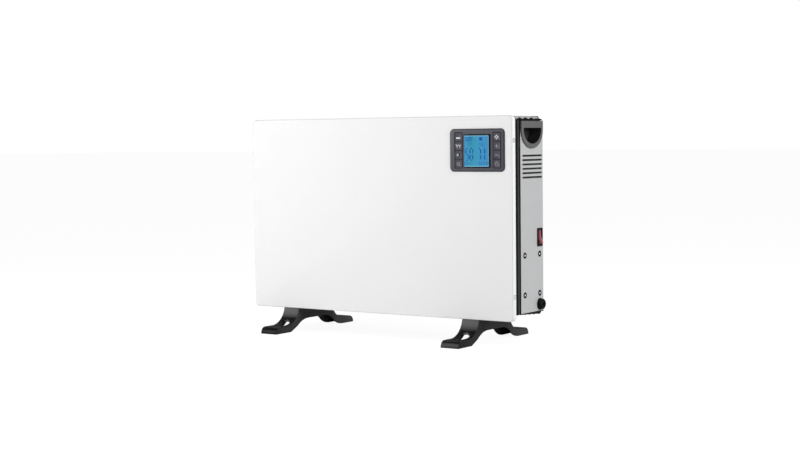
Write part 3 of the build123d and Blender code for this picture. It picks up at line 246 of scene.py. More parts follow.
def painted_rocker_highlight(tree):
    """Painted pink highlight on the half of the rocker that is nearer the back."""
    return combine(tree, "MULTIPLY", remap(tree, along(tree, "Y"), SWITCH[0] - 1, SWITCH[0] + 5), 0.75)


def painted_foot_light(tree):
    """Painted light on the upright surfaces of the feet that face the front or, more faintly, the side.

    The sides get more of it to the rear, and on the left foot twice as much. Its low front gets less.
    """
    left = remap(tree, along(tree, "X"), 50.0, -50.0)
    z = along(tree, "Z")
    low = combine(tree, "MULTIPLY", remap(tree, z, 30.0, 12.0), left)
    front = remap(tree, facing(tree, "Y"), -0.70, -0.90)
    front = combine(tree, "MULTIPLY", front, remap(tree, z, -4.0, 12.0))
    front = combine(tree, "SUBTRACT", front, combine(tree, "MULTIPLY", low, 0.5))
    flank = remap(tree, combine(tree, "ABSOLUTE", facing(tree, "X")), 0.80, 0.95)
    share = remap(tree, along(tree, "Y"), -125.0, 30.0, 0.10, 0.46)
    share = combine(tree, "MULTIPLY", share, combine(tree, "ADD", left, 1.0))
    return combine(tree, "MAXIMUM", front, combine(tree, "MULTIPLY", flank, share))


def shade(colour, amount):
    """A colour made lighter by a share of itself, or darker."""
    return tuple(max(0.0, min(1.0, part * (1 + amount))) for part in colour)


def finish(name, colour, rough, metallic=0.0, grain=900.0, bump=0.0, bump_scale=2500.0, vary=0.06,
           wear=0.08, coat=0.0, coat_rough=0.1, specular=0.5, stretch=(1, 1, 1), edge=0.0,
           transmission=0.0, ior=1.5, emission=None, second=None):
    """A painted, moulded or metal surface: mottled colour, uneven gloss and a fine relief.

    Vary and wear are the shares by which colour and gloss change from place to place. Edge rounds
    sharp edges by that many mm. Emission is a colour and a strength. Second names another colour
    and the mask that says its share at each place.
    """
    material, tree, shader = node_tree(name)
    broad = noise(tree, 14.0, 4.0, offset=(3.1, 1.7, 0.4))
    fine = noise(tree, grain, stretch=stretch)
    mix = tree.nodes.new("ShaderNodeMix")
    mix.inputs["Factor"].default_value = 0.5
    tree.links.new(broad, mix.inputs["A"])
    tree.links.new(fine, mix.inputs["B"])
    tint = ramp(tree, mix.outputs["Result"], [(0.3, shade(colour, -vary)), (0.7, shade(colour, vary))])
    if second:
        other, mask = second
        blend = tree.nodes.new("ShaderNodeMix")
        blend.data_type = "RGBA"
        tree.links.new(mask(tree), blend.inputs["Factor"])
        tree.links.new(tint, blend.inputs[6])
        blend.inputs[7].default_value = (*other, 1)
        tint = blend.outputs[2]
    tree.links.new(tint, shader.inputs["Base Color"])
    gloss = remap(tree, broad, 0.25, 0.75, rough * (1 - wear), rough * (1 + wear))
    tree.links.new(gloss, shader.inputs["Roughness"])
    for socket, value in (("Metallic", metallic), ("Specular IOR Level", specular), ("IOR", ior),
                          ("Coat Weight", coat), ("Coat Roughness", coat_rough),
                          ("Transmission Weight", transmission)):
        shader.inputs[socket].default_value = value
    if emission:
        shader.inputs["Emission Color"].default_value = (*emission[:3], 1)
        shader.inputs["Emission Strength"].default_value = emission[3]
    normal = None
    if edge:
        round_edge = tree.nodes.new("ShaderNodeBevel")
        round_edge.samples = 4
        round_edge.inputs["Radius"].default_value = edge * MM
        normal = round_edge.outputs["Normal"]
    if bump:
        relief = tree.nodes.new("ShaderNodeBump")
        relief.inputs["Strength"].default_value = bump
        relief.inputs["Distance"].default_value = 0.2 * MM
        tree.links.new(noise(tree, bump_scale, stretch=stretch), relief.inputs["Height"])
        if normal:
            tree.links.new(normal, relief.inputs["Normal"])
        normal = relief.outputs["Normal"]
    if normal:
        tree.links.new(normal, shader.inputs["Normal"])
    return material


def display_light():
    """Blue backlight that is paler at the left edge and greener in the middle."""
    material, tree, shader = node_tree("display backlight")
    share = remap(tree, along(tree, "X"), CONTROL[0] - 28.5, CONTROL[0] + 24.5)
    uneven = combine(tree, "MULTIPLY", noise(tree, 60.0), 0.12)
    colour = ramp(tree, combine(tree, "ADD", uneven, share),
                  [(0.0, (0.08, 0.34, 0.56)), (0.12, (0.045, 0.29, 0.52)), (0.42, (0.030, 0.29, 0.42)),
                   (0.75, (0.045, 0.29, 0.52)), (1.0, (0.04, 0.26, 0.50))])
    tree.links.new(colour, shader.inputs["Emission Color"])
    shader.inputs["Emission Strength"].default_value = 1.0
    shader.inputs["Base Color"].default_value = (0.004, 0.012, 0.018, 1)
    shader.inputs["Roughness"].default_value = 0.5
    shader.inputs["Specular IOR Level"].default_value = 0.1
    return material


MATS = {
    # The second colour is painted shade along the panel's fold.
    "white_panel": finish("white powder coat", (0.80, 0.80, 0.80), 0.50, bump=0.10, bump_scale=1400,
                          vary=0.012, wear=0.06, specular=0.3,
                          second=((0.60, 0.60, 0.60), painted_fold_shade)),
    # The second colour is painted shade in the gaps beside the black strip.
    "dark_frame": finish("dark powder coat", (0.036, 0.036, 0.037), 0.60, bump=0.35, bump_scale=1800,
                         vary=0.12, edge=0.5, specular=0.12,
                         second=((0.0015, 0.0015, 0.0015), painted_gap_shade)),
    "grey_shell": finish("silver grey powder coat", (0.50, 0.505, 0.51), 0.42, bump=0.22,
                         bump_scale=1700, vary=0.03, metallic=0.15),
    "silver_grille": finish("satin silver", (0.66, 0.67, 0.68), 0.32, metallic=0.7, bump=0.15,
                            bump_scale=900, stretch=(0.04, 1, 1), vary=0.05),
    "black_plastic": finish("black moulded plastic", (0.003, 0.003, 0.0033), 0.42, bump=0.35,
                            bump_scale=1500, vary=0.2, edge=0.5, specular=0.12),
    # The second colour is painted shade in the hand pocket and round the cap.
    "handle_plastic": finish("grey moulded plastic", (0.112, 0.113, 0.115), 0.50, bump=0.30,
                             bump_scale=1500, vary=0.06, specular=0.25,
                             second=((0.009, 0.009, 0.0095), painted_pocket_shade)),
    # The second colour is painted light on the feet's front and side faces.
    "foot_plastic": finish("foot plastic", (0.0028, 0.0028, 0.003), 0.50, bump=0.40,
                           bump_scale=1300, vary=0.15, specular=0.10,
                           second=((0.10, 0.10, 0.102), painted_foot_light)),
    "bezel_plastic": finish("gloss grey plastic", (0.058, 0.060, 0.074), 0.42, bump=0.06,
                            bump_scale=1200, vary=0.05, coat=0.05, coat_rough=0.2, specular=0.2,
                            second=((0.014, 0.014, 0.018), at_rim)),
    "key_plastic": finish("key plastic", (0.062, 0.060, 0.080), 0.42, bump=0.10, bump_scale=1600,
                          vary=0.05, coat=0.05, coat_rough=0.2, specular=0.2),
    # The second colour is a painted highlight on the rocker's rear half.
    "red_rocker": finish("red rocker plastic", (0.17, 0.010, 0.020), 0.30, bump=0.05, bump_scale=900,
                         vary=0.08, coat=0.5, coat_rough=0.32, edge=0.4,
                         second=((0.62, 0.24, 0.28), painted_rocker_highlight)),
    "steel": finish("zinc plated steel", (0.66, 0.66, 0.65), 0.28, metallic=1.0, bump=0.2,
                    bump_scale=1200, vary=0.08, wear=0.3, edge=0.3),
    "zinc_steel": finish("galvanised sheet", (0.48, 0.49, 0.50), 0.42, metallic=0.9, grain=90,
                         vary=0.16, bump=0.15, bump_scale=300, wear=0.3, edge=0.3),
    "bright_sheet": finish("bright sheet", (0.72, 0.73, 0.74), 0.22, metallic=0.95, grain=60,
                           vary=0.08, bump=0.08, bump_scale=260, wear=0.3),
    "aluminium_fins": finish("extruded aluminium", (0.66, 0.67, 0.68), 0.33, metallic=1.0, bump=0.35,
                             bump_scale=1200, stretch=(0.03, 1, 1), vary=0.06, wear=0.2),
    "brass": finish("tinned brass", (0.62, 0.52, 0.30), 0.30, metallic=1.0, vary=0.08, wear=0.3,
                    bump=0.1, bump_scale=900),
    "ceramic": finish("ceramic", (0.72, 0.70, 0.64), 0.60, vary=0.05, bump=0.3, bump_scale=900),
    "circuit_board": finish("circuit board", (0.02, 0.16, 0.07), 0.34, vary=0.3, grain=500, coat=0.3,
                            bump=0.3, bump_scale=500),
    "component_black": finish("component black", (0.02, 0.02, 0.022), 0.5, vary=0.1, bump=0.2,
                              bump_scale=700),
    "component_yellow": finish("component yellow", (0.62, 0.42, 0.05), 0.4, vary=0.06, bump=0.1,
                               bump_scale=500),
    "terminal_plastic": finish("terminal plastic", (0.05, 0.22, 0.10), 0.45, vary=0.08, bump=0.2,
                               bump_scale=700),
    "clear_lens": finish("clear lens", (0.97, 0.985, 1.0), 0.03, transmission=1.0, vary=0.0, wear=0.2,
                         ior=1.12),
    "lcd_display": display_light(),
}
# Black of the washers, and also the painted shadow in the gap at the chassis frame's edge.
WASHER_AND_GAP_SHADE_BLACK = finish("black of washers and gap shade", (0.002, 0.002, 0.002), 0.6, vary=0.1, bump=0.2, bump_scale=900,
                      specular=0.05)
SCREW_WHITE = finish("painted screw", (0.74, 0.74, 0.74), 0.35, vary=0.04, bump=0.1, bump_scale=900)
# Grey for the painted shade of the gap round each panel screw head.
SCREW_GAP_SHADE_GREY = finish("painted shade round panel screws", (0.26, 0.26, 0.26), 0.5, vary=0.1, bump=0.1, bump_scale=900)
WELL_DARK = finish("key well", (0.009, 0.008, 0.013), 0.45, vary=0.1, bump=0.1, bump_scale=900,
                   specular=0.2)
# Bright print, with a faint painted glow.
PRINT_BRIGHT = finish("bright print", (0.66, 0.66, 0.66), 0.5, vary=0.05, emission=(0.8, 0.8, 0.8, 0.03))
PRINT_DIM = finish("dim print", (0.30, 0.30, 0.33), 0.5, vary=0.05)
PRINT_SOFT = finish("soft print", (0.50, 0.48, 0.52), 0.5, vary=0.05)
PRINT_BLACK = finish("black print", (0.004, 0.004, 0.006), 0.5, vary=0.1, specular=0.2)
MASK_BLACK = finish("display mask", (0.001, 0.004, 0.012), 0.4, vary=0.1, bump=0.02, specular=0.1)
SEGMENT_BLUE = finish("display segments", (0.001, 0.008, 0.03), 0.4, vary=0.1, specular=0.1,
                      emission=(0.004, 0.085, 0.33, 1.0))
SEGMENT_SOFT = finish("faint segments", (0.002, 0.012, 0.03), 0.4, vary=0.1, specular=0.1,
                      emission=(0.009, 0.11, 0.34, 1.0))
DISPLAY_EDGE = finish("display edge", (0.01, 0.03, 0.04), 0.4, vary=0.1, specular=0.1,
                      emission=(0.22, 0.50, 0.66, 1.0))

SLOTS = {name: node.material_slots[0].material.name.split(".")[0] for name, node in NODES.items()}
for name, node in NODES.items():
    for place in node.material_slots:
        place.material = MATS[SLOTS[name]]


# Mesh helpers

def to_piece(name, bm, material, node=None, body=HEATER, angle=32.0, scale=MM):
    """Links a mesh as a piece that stands in for a CAD node or only rides on a body."""
    bmesh.ops.recalc_face_normals(bm, faces=bm.faces)
    bmesh.ops.scale(bm, vec=(scale,) * 3, verts=bm.verts)
    mesh = bpy.data.meshes.new(name)
    bm.to_mesh(mesh)
    bm.free()
    mesh.materials.append(material)
    piece = bpy.data.objects.new(name, mesh)
    scene.collection.objects.link(piece)
    return settle(piece, node, body, angle)


def settle(piece, node=None, body=HEATER, angle=32.0):
    """Shades a piece, hides the node it stands in for and puts it on that node's body, or else on the
    given body.
    """
    piece.data.shade_smooth()
    piece.data.set_sharp_from_angle(angle=math.radians(angle))
    if node:
        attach(piece, NODES[node]["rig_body"])
        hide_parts(node)
    elif body:
        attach(piece, body)
    return piece


def blank(name, bm, material=MATS["steel"]):
    """A mesh object that doesn't ride yet."""
    return to_piece(name, bm, material, body=None)


def loft(bm, loops, ring=False):
    """Skin between loops of equal counts, closed into a ring or capped at both ends."""
    rows = [[bm.verts.new(point) for point in loop] for loop in loops]
    pairs = list(zip(rows, rows[1:]))
    if ring:
        pairs.append((rows[-1], rows[0]))
    for a, b in pairs:
        for i in range(len(a)):
            j = (i + 1) % len(a)
            bm.faces.new((a[i], a[j], b[j], b[i]))
    if not ring:
        bm.faces.new(rows[0][::-1])
        bm.faces.new(rows[-1])


def rounded(width, height, radius, middle=(0, 0), steps=8):
    """Points of a round-cornered rectangle, anticlockwise."""
    points = []
    for sx, sz, start in ((1, 1, 0), (-1, 1, 90), (-1, -1, 180), (1, -1, 270)):
        for step in range(steps + 1):
            turn = math.radians(start + 90 * step / steps)
            points.append((middle[0] + sx * (width / 2 - radius) + radius * math.cos(turn),
                           middle[1] + sz * (height / 2 - radius) + radius * math.sin(turn)))
    return points


def arc(radius, start, end, steps, middle=(0, 0)):
    """Points of an arc between two angles in degrees."""
    turns = [math.radians(start + (end - start) * step / steps) for step in range(steps + 1)]
    return [(middle[0] + radius * math.cos(turn), middle[1] + radius * math.sin(turn)) for turn in turns]


def disc(radius, middle=(0, 0), steps=24):
    """Points of a full circle."""
    return arc(radius, 0, 360 - 360 / steps, steps - 1, middle)


def at_y(points, y):
    """An outline in X and Z, set at one depth."""
    return [(x, y, z) for x, z in points]


def at_x(points, x):
    """An outline in Y and Z, set at one place across."""
    return [(x, y, z) for y, z in points]


def edge_steps(radius, steps=5):
    """Inset and depth of each step round a quarter-round edge, from the side to the face."""
    turns = [math.radians(90 * step / steps) for step in range(steps + 1)]
    return [(radius * (1 - math.cos(turn)), radius * (1 - math.sin(turn))) for turn in turns]


def slab(name, points, front, back, material=MATS["steel"]):
    """A prism along Y between two depths."""
    bm = bmesh.new()
    loft(bm, [at_y(points, front), at_y(points, back)])
    return blank(name, bm, material)


def carve(piece, *cutters):
    """Cuts the cutters' meshes out of a piece for good."""
    for cutter in cutters:
        cut = piece.modifiers.new("cut", "BOOLEAN")
        cut.operation = "DIFFERENCE"
        cut.solver = "EXACT"
        cut.object = cutter
    mesh = bpy.data.meshes.new_from_object(piece.evaluated_get(bpy.context.evaluated_depsgraph_get()))
    piece.modifiers.clear()
    piece.data = mesh
    for cutter in cutters:
        bpy.data.objects.remove(cutter)
    return piece


def soften(node, width, segments=2):
    """A copy of a CAD node whose sharp edges are rounded, in its place."""
    bm = bmesh.new()
    bm.from_mesh(NODES[node].data)
    bmesh.ops.remove_doubles(bm, verts=bm.verts, dist=1e-6)
    bmesh.ops.dissolve_limit(bm, angle_limit=math.radians(0.5), verts=bm.verts, edges=bm.edges)
    edges = [e for e in bm.edges if e.is_manifold and e.calc_face_angle(0) > math.radians(30)]
    bmesh.ops.bevel(bm, geom=edges, offset=width * MM, offset_type="OFFSET", segments=segments,
                    profile=0.5, affect="EDGES", clamp_overlap=True)
    to_piece(node + "_skin", bm, MATS[SLOTS[node]], node, angle=40.0, scale=1.0)


# Front panel: a tray with a rolled edge and an opening for the control panel

def front_panel():
    """Skin round the sheet: its outside from the flanges to the opening, then its inside."""
    corner, roll, sheet = 8.0, 1.4, 1.2
    rear = FLANGE_Y - 0.7
    opening = rounded(OPENING_WIDTH, OPENING_HEIGHT, 2.0, CONTROL)

    def outline(inset, y):
        width, height = 2 * PANEL_X, PANEL_TOP - PANEL_BOTTOM
        middle = (0, (PANEL_TOP + PANEL_BOTTOM) / 2)
        return at_y(rounded(width - 2 * inset, height - 2 * inset, corner - inset, middle), y)

    outside = [outline(inset, FACE_Y + depth) for inset, depth in edge_steps(roll, 7)]
    inside = [outline(sheet + inset, FACE_Y + sheet + depth)
              for inset, depth in reversed(edge_steps(roll - sheet, 4))]
    bm = bmesh.new()
    loft(bm, [outline(0, rear), *outside, at_y(opening, FACE_Y), at_y(opening, FACE_Y + sheet),
              *inside, outline(sheet, rear)], ring=True)
    to_piece("front_panel_skin", bm, MATS["white_panel"], "front_panel")


front_panel()


# Control panel

def key_holes(names):
    """Cutters for the keys of one column."""
    squares = [rounded(14.9, 14.9, 1.6, KEYS[name]) for name in names]
    return [slab("hole", square, BEZEL_Y - 2, FACE_Y + 4) for square in squares]


def well_outline(names, play=0.0):
    """Outline of the sunk column for some keys, smaller by the play."""
    return rounded(18.0 - play, 66.6 - play, 2.4, (KEYS[names[0]][0], CONTROL[1]))


def bezel():
    """Surround with a rolled edge, two sunk columns for the keys and a sunk seat for the window."""
    corner, roll = 8.0, 1.2

    def outline(inset, y):
        width, height = CONTROL_WIDTH - 2 * inset, CONTROL_HEIGHT - 2 * inset
        return at_y(rounded(width, height, corner - inset, CONTROL, 10), y)

    insert = rounded(OPENING_WIDTH - 0.6, OPENING_HEIGHT - 0.6, 4, CONTROL, 10)
    bm = bmesh.new()
    loft(bm, [at_y(insert, FACE_Y + 2), at_y(insert, FACE_Y), outline(0, FACE_Y),
              *(outline(inset, BEZEL_Y + depth) for inset, depth in edge_steps(roll))])
    piece = blank("control_bezel_skin", bm, MATS["bezel_plastic"])
    seat = rounded(PANE_WIDTH + 0.2, PANE_HEIGHT + 0.2, PANE_CORNER, SIGHT)
    through = rounded(LIT_WIDTH + 0.2, LIT_HEIGHT + 0.2, 1.0, SIGHT)
    cutters = [slab("seat", seat, BEZEL_Y - 3, BEZEL_Y + 0.55),
               slab("through", through, BEZEL_Y, FACE_Y + 4)]
    for names in KEY_COLUMNS.values():
        cutters += [slab("well", well_outline(names), BEZEL_Y - 3, WELL_FLOOR), *key_holes(names)]
    settle(carve(piece, *cutters), "control_bezel")


def key_wells():
    """Dark linings on the floors of the sunk columns."""
    for side, names in KEY_COLUMNS.items():
        outline, top = well_outline(names, 0.1), WELL_FLOOR - 0.1
        lining = slab("key_well_" + side, outline, WELL_FLOOR, top, WELL_DARK)
        settle(carve(lining, *key_holes(names)))


def key_cap(name):
    """Square cap with a rounded edge and a dished face, on a flange and a short stem."""
    stem, flange, cap, dish = 4.0, 15.8, 14.4, 11.6
    corner, roll = 1.5, 0.5
    stem_y, flange_y, shoulder_y = KEY_FRONT + 6.45, KEY_FRONT + 5.3, KEY_FRONT + 4.35

    def square(side, radius, y):
        return at_y(rounded(side, side, radius, KEYS[name], 4), y)

    bm = bmesh.new()
    loft(bm, [square(stem, 0.4, stem_y), square(stem, 0.4, flange_y), square(flange, 1.6, flange_y),
              square(flange, 1.6, shoulder_y), square(cap, corner, shoulder_y),
              *(square(cap - 2 * inset, corner - inset, KEY_FRONT + depth)
                for inset, depth in edge_steps(roll, 3)),
              square(dish + 0.6, 1.0, KEY_FRONT), square(dish, 0.9, KEY_FRONT + KEY_DISH)])
    to_piece(name + "_cap", bm, MATS["key_plastic"], name)


def rectangle(left, right, low, high):
    """Corners of a rectangle, anticlockwise."""
    return [(left, low), (right, low), (right, high), (left, high)]


def ways(a, b):
    """Unit vectors along a line and to its left."""
    way = (b - a).normalized()
    return way, Vector((-way.y, way.x))


def stroke(points, width):
    """Quads along an open line, each a little longer than its stretch so that they meet."""
    quads = []
    for a, b in zip(points, points[1:]):
        a, b = Vector(a), Vector(b)
        way, left = ways(a, b)
        side, overlap = left * width / 2, way * width * 0.12
        a, b = a - overlap, b + overlap
        quads.append([a + side, a - side, b - side, b + side])
    return quads


def printed(name, polygons, middle, y, material, body=HEATER, thick=0.06):
    """Flat marks of ink, each polygon a thin prism."""
    bm = bmesh.new()
    for polygon in polygons:
        points = [(middle[0] + x, middle[1] + z) for x, z in polygon]
        loft(bm, [at_y(points, y), at_y(points, y - thick)])
    to_piece(name, bm, material, body=body)


def key_signs():
    """Generic signs on the keys, as ink in one or two colours."""
    level, upright = stroke([(-2.7, 0), (2.7, 0)], 1.1), stroke([(0, -2.7), (0, 2.7)], 1.1)
    vees = stroke([(-4.8, 3.2), (-2.4, -0.6), (-0.6, 2.2)], 1.6)
    vees += stroke([(1.0, 2.6), (3.2, -0.8), (5.0, 2.4)], 1.6)
    dashes = stroke([(-3.6, -3.4), (-1.2, -1.8)], 1.2) + stroke([(2.4, -3.6), (4.4, -2.4)], 1.2)
    power = stroke(arc(3.1, 120, 420, 22), 1.3) + stroke([(0, 1.4), (0, 4.2)], 1.1)
    gear = stroke(arc(2.3, 0, 360, 20), 1.2)
    for tooth in range(8):
        turn = math.radians(45 * tooth)
        gear += stroke([(r * math.cos(turn), r * math.sin(turn)) for r in (2.6, 3.7)], 1.1)
    petals = [[(x + 1.7 * dx, z + 1.7 * dz) for dx, dz in ((0, 1), (-1, 0), (0, -1), (1, 0))]
              for x, z in ((0, 2.7), (-2.7, 0), (0, -2.7), (2.7, 0))]
    signs = (("key_display", [rectangle(-4.3, 4.3, -2.5, 0.1)], PRINT_BRIGHT),
             ("key_swing", vees, PRINT_SOFT),
             ("key_swing", dashes, PRINT_DIM),
             ("key_night", [disc(3.6, (0.6, 0))], PRINT_BLACK),
             ("key_night", [disc(2.5, (-1.1, 0.2))], PRINT_DIM),
             ("key_settings", gear, PRINT_DIM),
             ("key_mode", petals, PRINT_BRIGHT),
             ("key_plus", level + upright, PRINT_DIM),
             ("key_minus", stroke([(-2.7, 0), (2.7, 0)], 1.0), PRINT_DIM),
             ("key_power", power, PRINT_DIM))
    for index, (name, polygons, material) in enumerate(signs):
        x, z = KEYS[name]
        lift = 0.0 if material is PRINT_BLACK else 0.05
        printed("%s_sign_%d" % (name, index), polygons, (x - 0.8, z - 0.6), KEY_FRONT + KEY_DISH - lift,
                material, NODES[name]["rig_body"])


# The lit bars of each digit, clockwise from the top as a to f, with g in the middle
DIGIT_BARS = ("abcdef", "bc", "abged", "abgcd", "fgbc", "afgcd", "afgedc", "abc", "abcdefg", "abcfgd")


def segments(digit, x, z, width, height, thick):
    """The lit bars of a seven-segment digit, as hexagons, from its lower left corner."""
    half, reach = height / 2, thick / 2
    bar_ends = {"a": ((0, height), (width, height)), "b": ((width, height), (width, half)),
                "c": ((width, half), (width, 0)), "d": ((width, 0), (0, 0)), "e": ((0, 0), (0, half)),
                "f": ((0, half), (0, height)), "g": ((0, half), (width, half))}
    bars = []
    for bar in DIGIT_BARS[digit]:
        a, b = (Vector(end) + Vector((x, z)) for end in bar_ends[bar])
        way, left = ways(a, b)
        way, side = way * reach, left * reach
        a, b = a + way * 0.6, b - way * 0.6
        bars.append([a, a + way + side, b - way + side, b, b - way - side, a + way - side])
    return bars


def display_layers():
    """Case, light, dark border and window, from outlines and their depths behind the pane's face."""
    case = rounded(56.8, 60.8, 0.6, (CONTROL[0] + 1.8, CONTROL[1]), 2)
    lit = rounded(LIT_WIDTH, LIT_HEIGHT, 0.4, SIGHT, 2)
    pane = rounded(PANE_WIDTH, PANE_HEIGHT, PANE_CORNER, SIGHT)
    pane_face = rounded(PANE_WIDTH - 0.3, PANE_HEIGHT - 0.3, PANE_CORNER - 0.2, SIGHT)
    clear = rounded(51.9, 56.6, 0.8, (CONTROL[0] - 1.15, CONTROL[1] - 1.6))
    layers = (("lcd_case", MASK_BLACK, "lcd_module",
               ((case, 10.4), (case, 4.3), (lit, 4.3), (lit, 0.5))),
              ("lcd_light", MATS["lcd_display"], None,
               ((pane, 0.43), (pane, 0.39))),
              ("lcd_mask", MASK_BLACK, None,
               ((pane, 0.34), (pane, 0.28), (clear, 0.28), (clear, 0.34))),
              ("lcd_window", MATS["clear_lens"], "lcd_lens",
               ((pane, 0.26), (pane, 0.1), (pane_face, 0))))
    for name, material, node, loops in layers:
        bm = bmesh.new()
        loft(bm, [at_y(points, PANE_FACE + depth) for points, depth in loops], ring=name == "lcd_mask")
        to_piece(name, bm, material, node)


def display_marks():
    """Large digits, rows of small digits and bars, and the bright edge of the light."""
    digits = [rectangle(4.8, 11.8, 17.5, 23.6)]
    for digit, x, width in ((5, -23.6, 5.2), (0, -14.8, 5.8), (7, 2.6, 5.1), (7, 12.6, 3.7)):
        digits += segments(digit, x, -18.2, width, 21.6, 2.6)
    rows = [rectangle(-25.6, end, z - 0.9, z + 0.9)
            for z, end in ((23.2, -8.6), (20.4, -9.6), (17.2, -11.0))]
    for z, places in ((8.6, ((1, -23.4), (2, -19.4), (3, -14.6))), (8.2, ((0, 5.8), (6, 10.6))),
                      (-26.6, ((8, -25.6), (2, -20.8), (4, -15.6), (0, 3.0), (8, 7.6), (3, 13.0),
                               (5, 17.8), (9, 22.0)))):
        for digit, x in places:
            rows += segments(digit, x, z, 3.0, 5.0, 1.6)
    left, right, low, high = -26.9, 24.7, -29.7, 26.5
    glow = [rectangle(left, right, low, low + 1.2), rectangle(left, right, high - 0.9, high),
            rectangle(right - 0.9, right, low + 1.3, high - 1)]
    for name, marks, material in (("lcd_digits", digits, SEGMENT_BLUE), ("lcd_rows", rows, SEGMENT_SOFT),
                                  ("lcd_glow", glow, DISPLAY_EDGE)):
        printed(name, marks, CONTROL, PANE_FACE + 0.38, material, thick=0.03)


bezel()
key_wells()
for key_name in KEYS:
    key_cap(key_name)
key_signs()
display_layers()
display_marks()


# Side panels and handles

def handle_outline(width, top, straight, height, shift=0.0, steps=22):
    """A flat-topped outline in Y and Z with a round bowl, from the top at the front."""
    half, middle = width / 2, HANDLE_Y + shift
    spring, drop = top - straight, height - straight
    turns = [math.pi * step / steps for step in range(steps + 1)]
    bowl = [(middle - half * math.cos(turn), spring - drop * math.sin(turn)) for turn in turns]
    return [*bowl, (middle + half, top), (middle - half, top)]


def pocket_outline(side_gap, end_gap, straight):
    """Outline of the hand pocket, grown by a gap at each side and at its top and bottom."""
    return handle_outline(POCKET_WIDTH + 2 * side_gap, POCKET_TOP + end_gap, straight,
                          POCKET_HEIGHT + 2 * end_gap, POCKET_SHIFT)


def stadium(middle, length, width, steps=8):
    """Outline of a slot with round ends."""
    radius, reach = width / 2, (length - width) / 2
    return (arc(radius, -90, 90, steps, (middle[0] + reach, middle[1]))
            + arc(radius, 90, 270, steps, (middle[0] - reach, middle[1])))


def side_panel(side, node):
    """Folded side sheet with round-ended slots and the handle's opening."""
    radius, sheet, start = 1.4, 1.0, FRAME_Y + 1.3
    front_lip, rear_lip = SIDE_X - 12, SIDE_X - 20
    bend = (SIDE_X - radius, BACK_Y - radius)
    section = [(front_lip, start), (SIDE_X - 0.5, start), (SIDE_X, start + 0.5),
               *arc(radius, 0, 90, 9, bend), (rear_lip, BACK_Y),
               (rear_lip, BACK_Y - sheet), *arc(radius - sheet, 90, 0, 9, bend),
               (SIDE_X - sheet, start + sheet), (front_lip, start + sheet)]
    bm = bmesh.new()
    loft(bm, [[(side * x, y, z) for x, y in section] for z in (SIDE_BOTTOM, SIDE_TOP - 1)])
    piece = blank(node + "_skin", bm, MATS["grey_shell"])
    openings = [stadium((HANDLE_Y + 2.75, SIDE_TOP - 64.5 - 7.95 * row), 72.5, 3.6) for row in range(6)]
    openings.append(pocket_outline(2.5, 2.3, POCKET_STRAIGHT))
    if side > 0:
        openings += [rounded(15.2, 30.4, 0.6, SWITCH, 2), rounded(13.0, 13.0, 6.4, GLAND)]
    cutters = []
    for points in openings:
        bm = bmesh.new()
        loft(bm, [at_x(points, side * (SIDE_X + depth)) for depth in (-2.5, 2)])
        cutters.append(blank("opening", bm))
    settle(carve(piece, *cutters), node)


def handle(side, node):
    """Cap with a rounded rim and a deep pocket, one skin from the pocket's back to its floor."""
    top = HANDLE_TOP - 0.8

    def cap(inset, x):
        return at_x(handle_outline(HANDLE_WIDTH - 2 * inset, top - inset, 16.8 - inset,
                                   top - HANDLE_BOTTOM - 2 * inset), side * x)

    def pocket(grow, x):
        return at_x(pocket_outline(grow, grow, POCKET_STRAIGHT + grow), side * x)

    loops = [pocket(grow, HANDLE_BACK + height) for grow, height in ((-4, 0.1), (-1, 0.3), (2, 3.5))]
    loops += [pocket(2, SIDE_X - 1.1), pocket(2, SIDE_X), cap(0, SIDE_X)]
    loops += [cap(inset, HANDLE_FACE - depth) for inset, depth in edge_steps(0.8, 4)]
    loops += [pocket(depth, HANDLE_FACE - inset) for inset, depth in edge_steps(1.0)]
    loops += [pocket(grow, HANDLE_BACK + height) for grow, height in ((0, 5.5), (-1.6, 2.7), (-4, 2.1))]
    bm = bmesh.new()
    loft(bm, loops)
    to_piece(node + "_skin", bm, MATS["handle_plastic"], node)


side_panel(1, "side_panel_right")
side_panel(-1, "side_panel_left")
handle(1, "handle_right")
handle(-1, "handle_left")


# Screws, washers and the cable gland

def turned(profile, seat, outward, steps=24):
    """Loops of a turned form, from pairs of a radius and a height over the seat."""
    axis = Vector(outward)
    side = axis.orthogonal().normalized()
    other = axis.cross(side)
    spokes = [side * x + other * y for x, y in disc(1.0, steps=steps)]
    return [[Vector(seat) + axis * height + spoke * radius for spoke in spokes]
            for radius, height in profile]


def add_cross(bm, seat, outward, reach, width, low, high, turn):
    """A cross-shaped recess for a screwdriver, narrower at its bottom."""
    axis = Vector(outward)
    side = Matrix.Rotation(turn, 3, axis) @ axis.orthogonal().normalized()
    other = axis.cross(side)
    h = width / 2
    cross = [(reach, h), (h, h), (h, reach), (-h, reach), (-h, h), (-reach, h), (-reach, -h), (-h, -h),
             (-h, -reach), (h, -reach), (h, -h), (reach, -h)]
    loft(bm, [[Vector(seat) + axis * height + (side * x + other * y) * share for x, y in cross]
              for height, share in ((low, 0.55), (high, 1.05))])


def sideways(seat):
    """The way along X that leads out of the heater from a seat."""
    return (math.copysign(1, seat[0]), 0, 0)


def screws(node, seats, profile, recess, material, outward=None):
    """Round heads with plain shanks, one mesh for the node's screws.

    Recess is the reach and the width of the cross in each head. The heads point sideways unless
    another way is given.
    """
    depth, play = 0.75, 0.3
    top = max(height for radius, height in profile)
    heads, crosses = bmesh.new(), bmesh.new()
    for index, seat in enumerate(seats):
        way = outward or sideways(seat)
        turn = 0.7 + 1.3 * index  # another one for each head
        loft(heads, turned(profile, seat, way))
        add_cross(crosses, seat, way, *recess, top - depth, top + play, turn)
    piece = blank(node.removesuffix("s") + "_heads", heads, material)
    settle(carve(piece, blank("crosses", crosses)), node)


def rings(name, seats, profile, material, node=None):
    """A turned ring round each seat at the heater's sides, one mesh for all."""
    bm = bmesh.new()
    for seat in seats:
        loft(bm, turned(profile, seat, sideways(seat), 32), ring=True)
    to_piece(name, bm, material, node)


def both(seats):
    """Seats on the right and then their mirror images on the left."""
    return seats + [(-x, y, z) for x, y, z in seats]


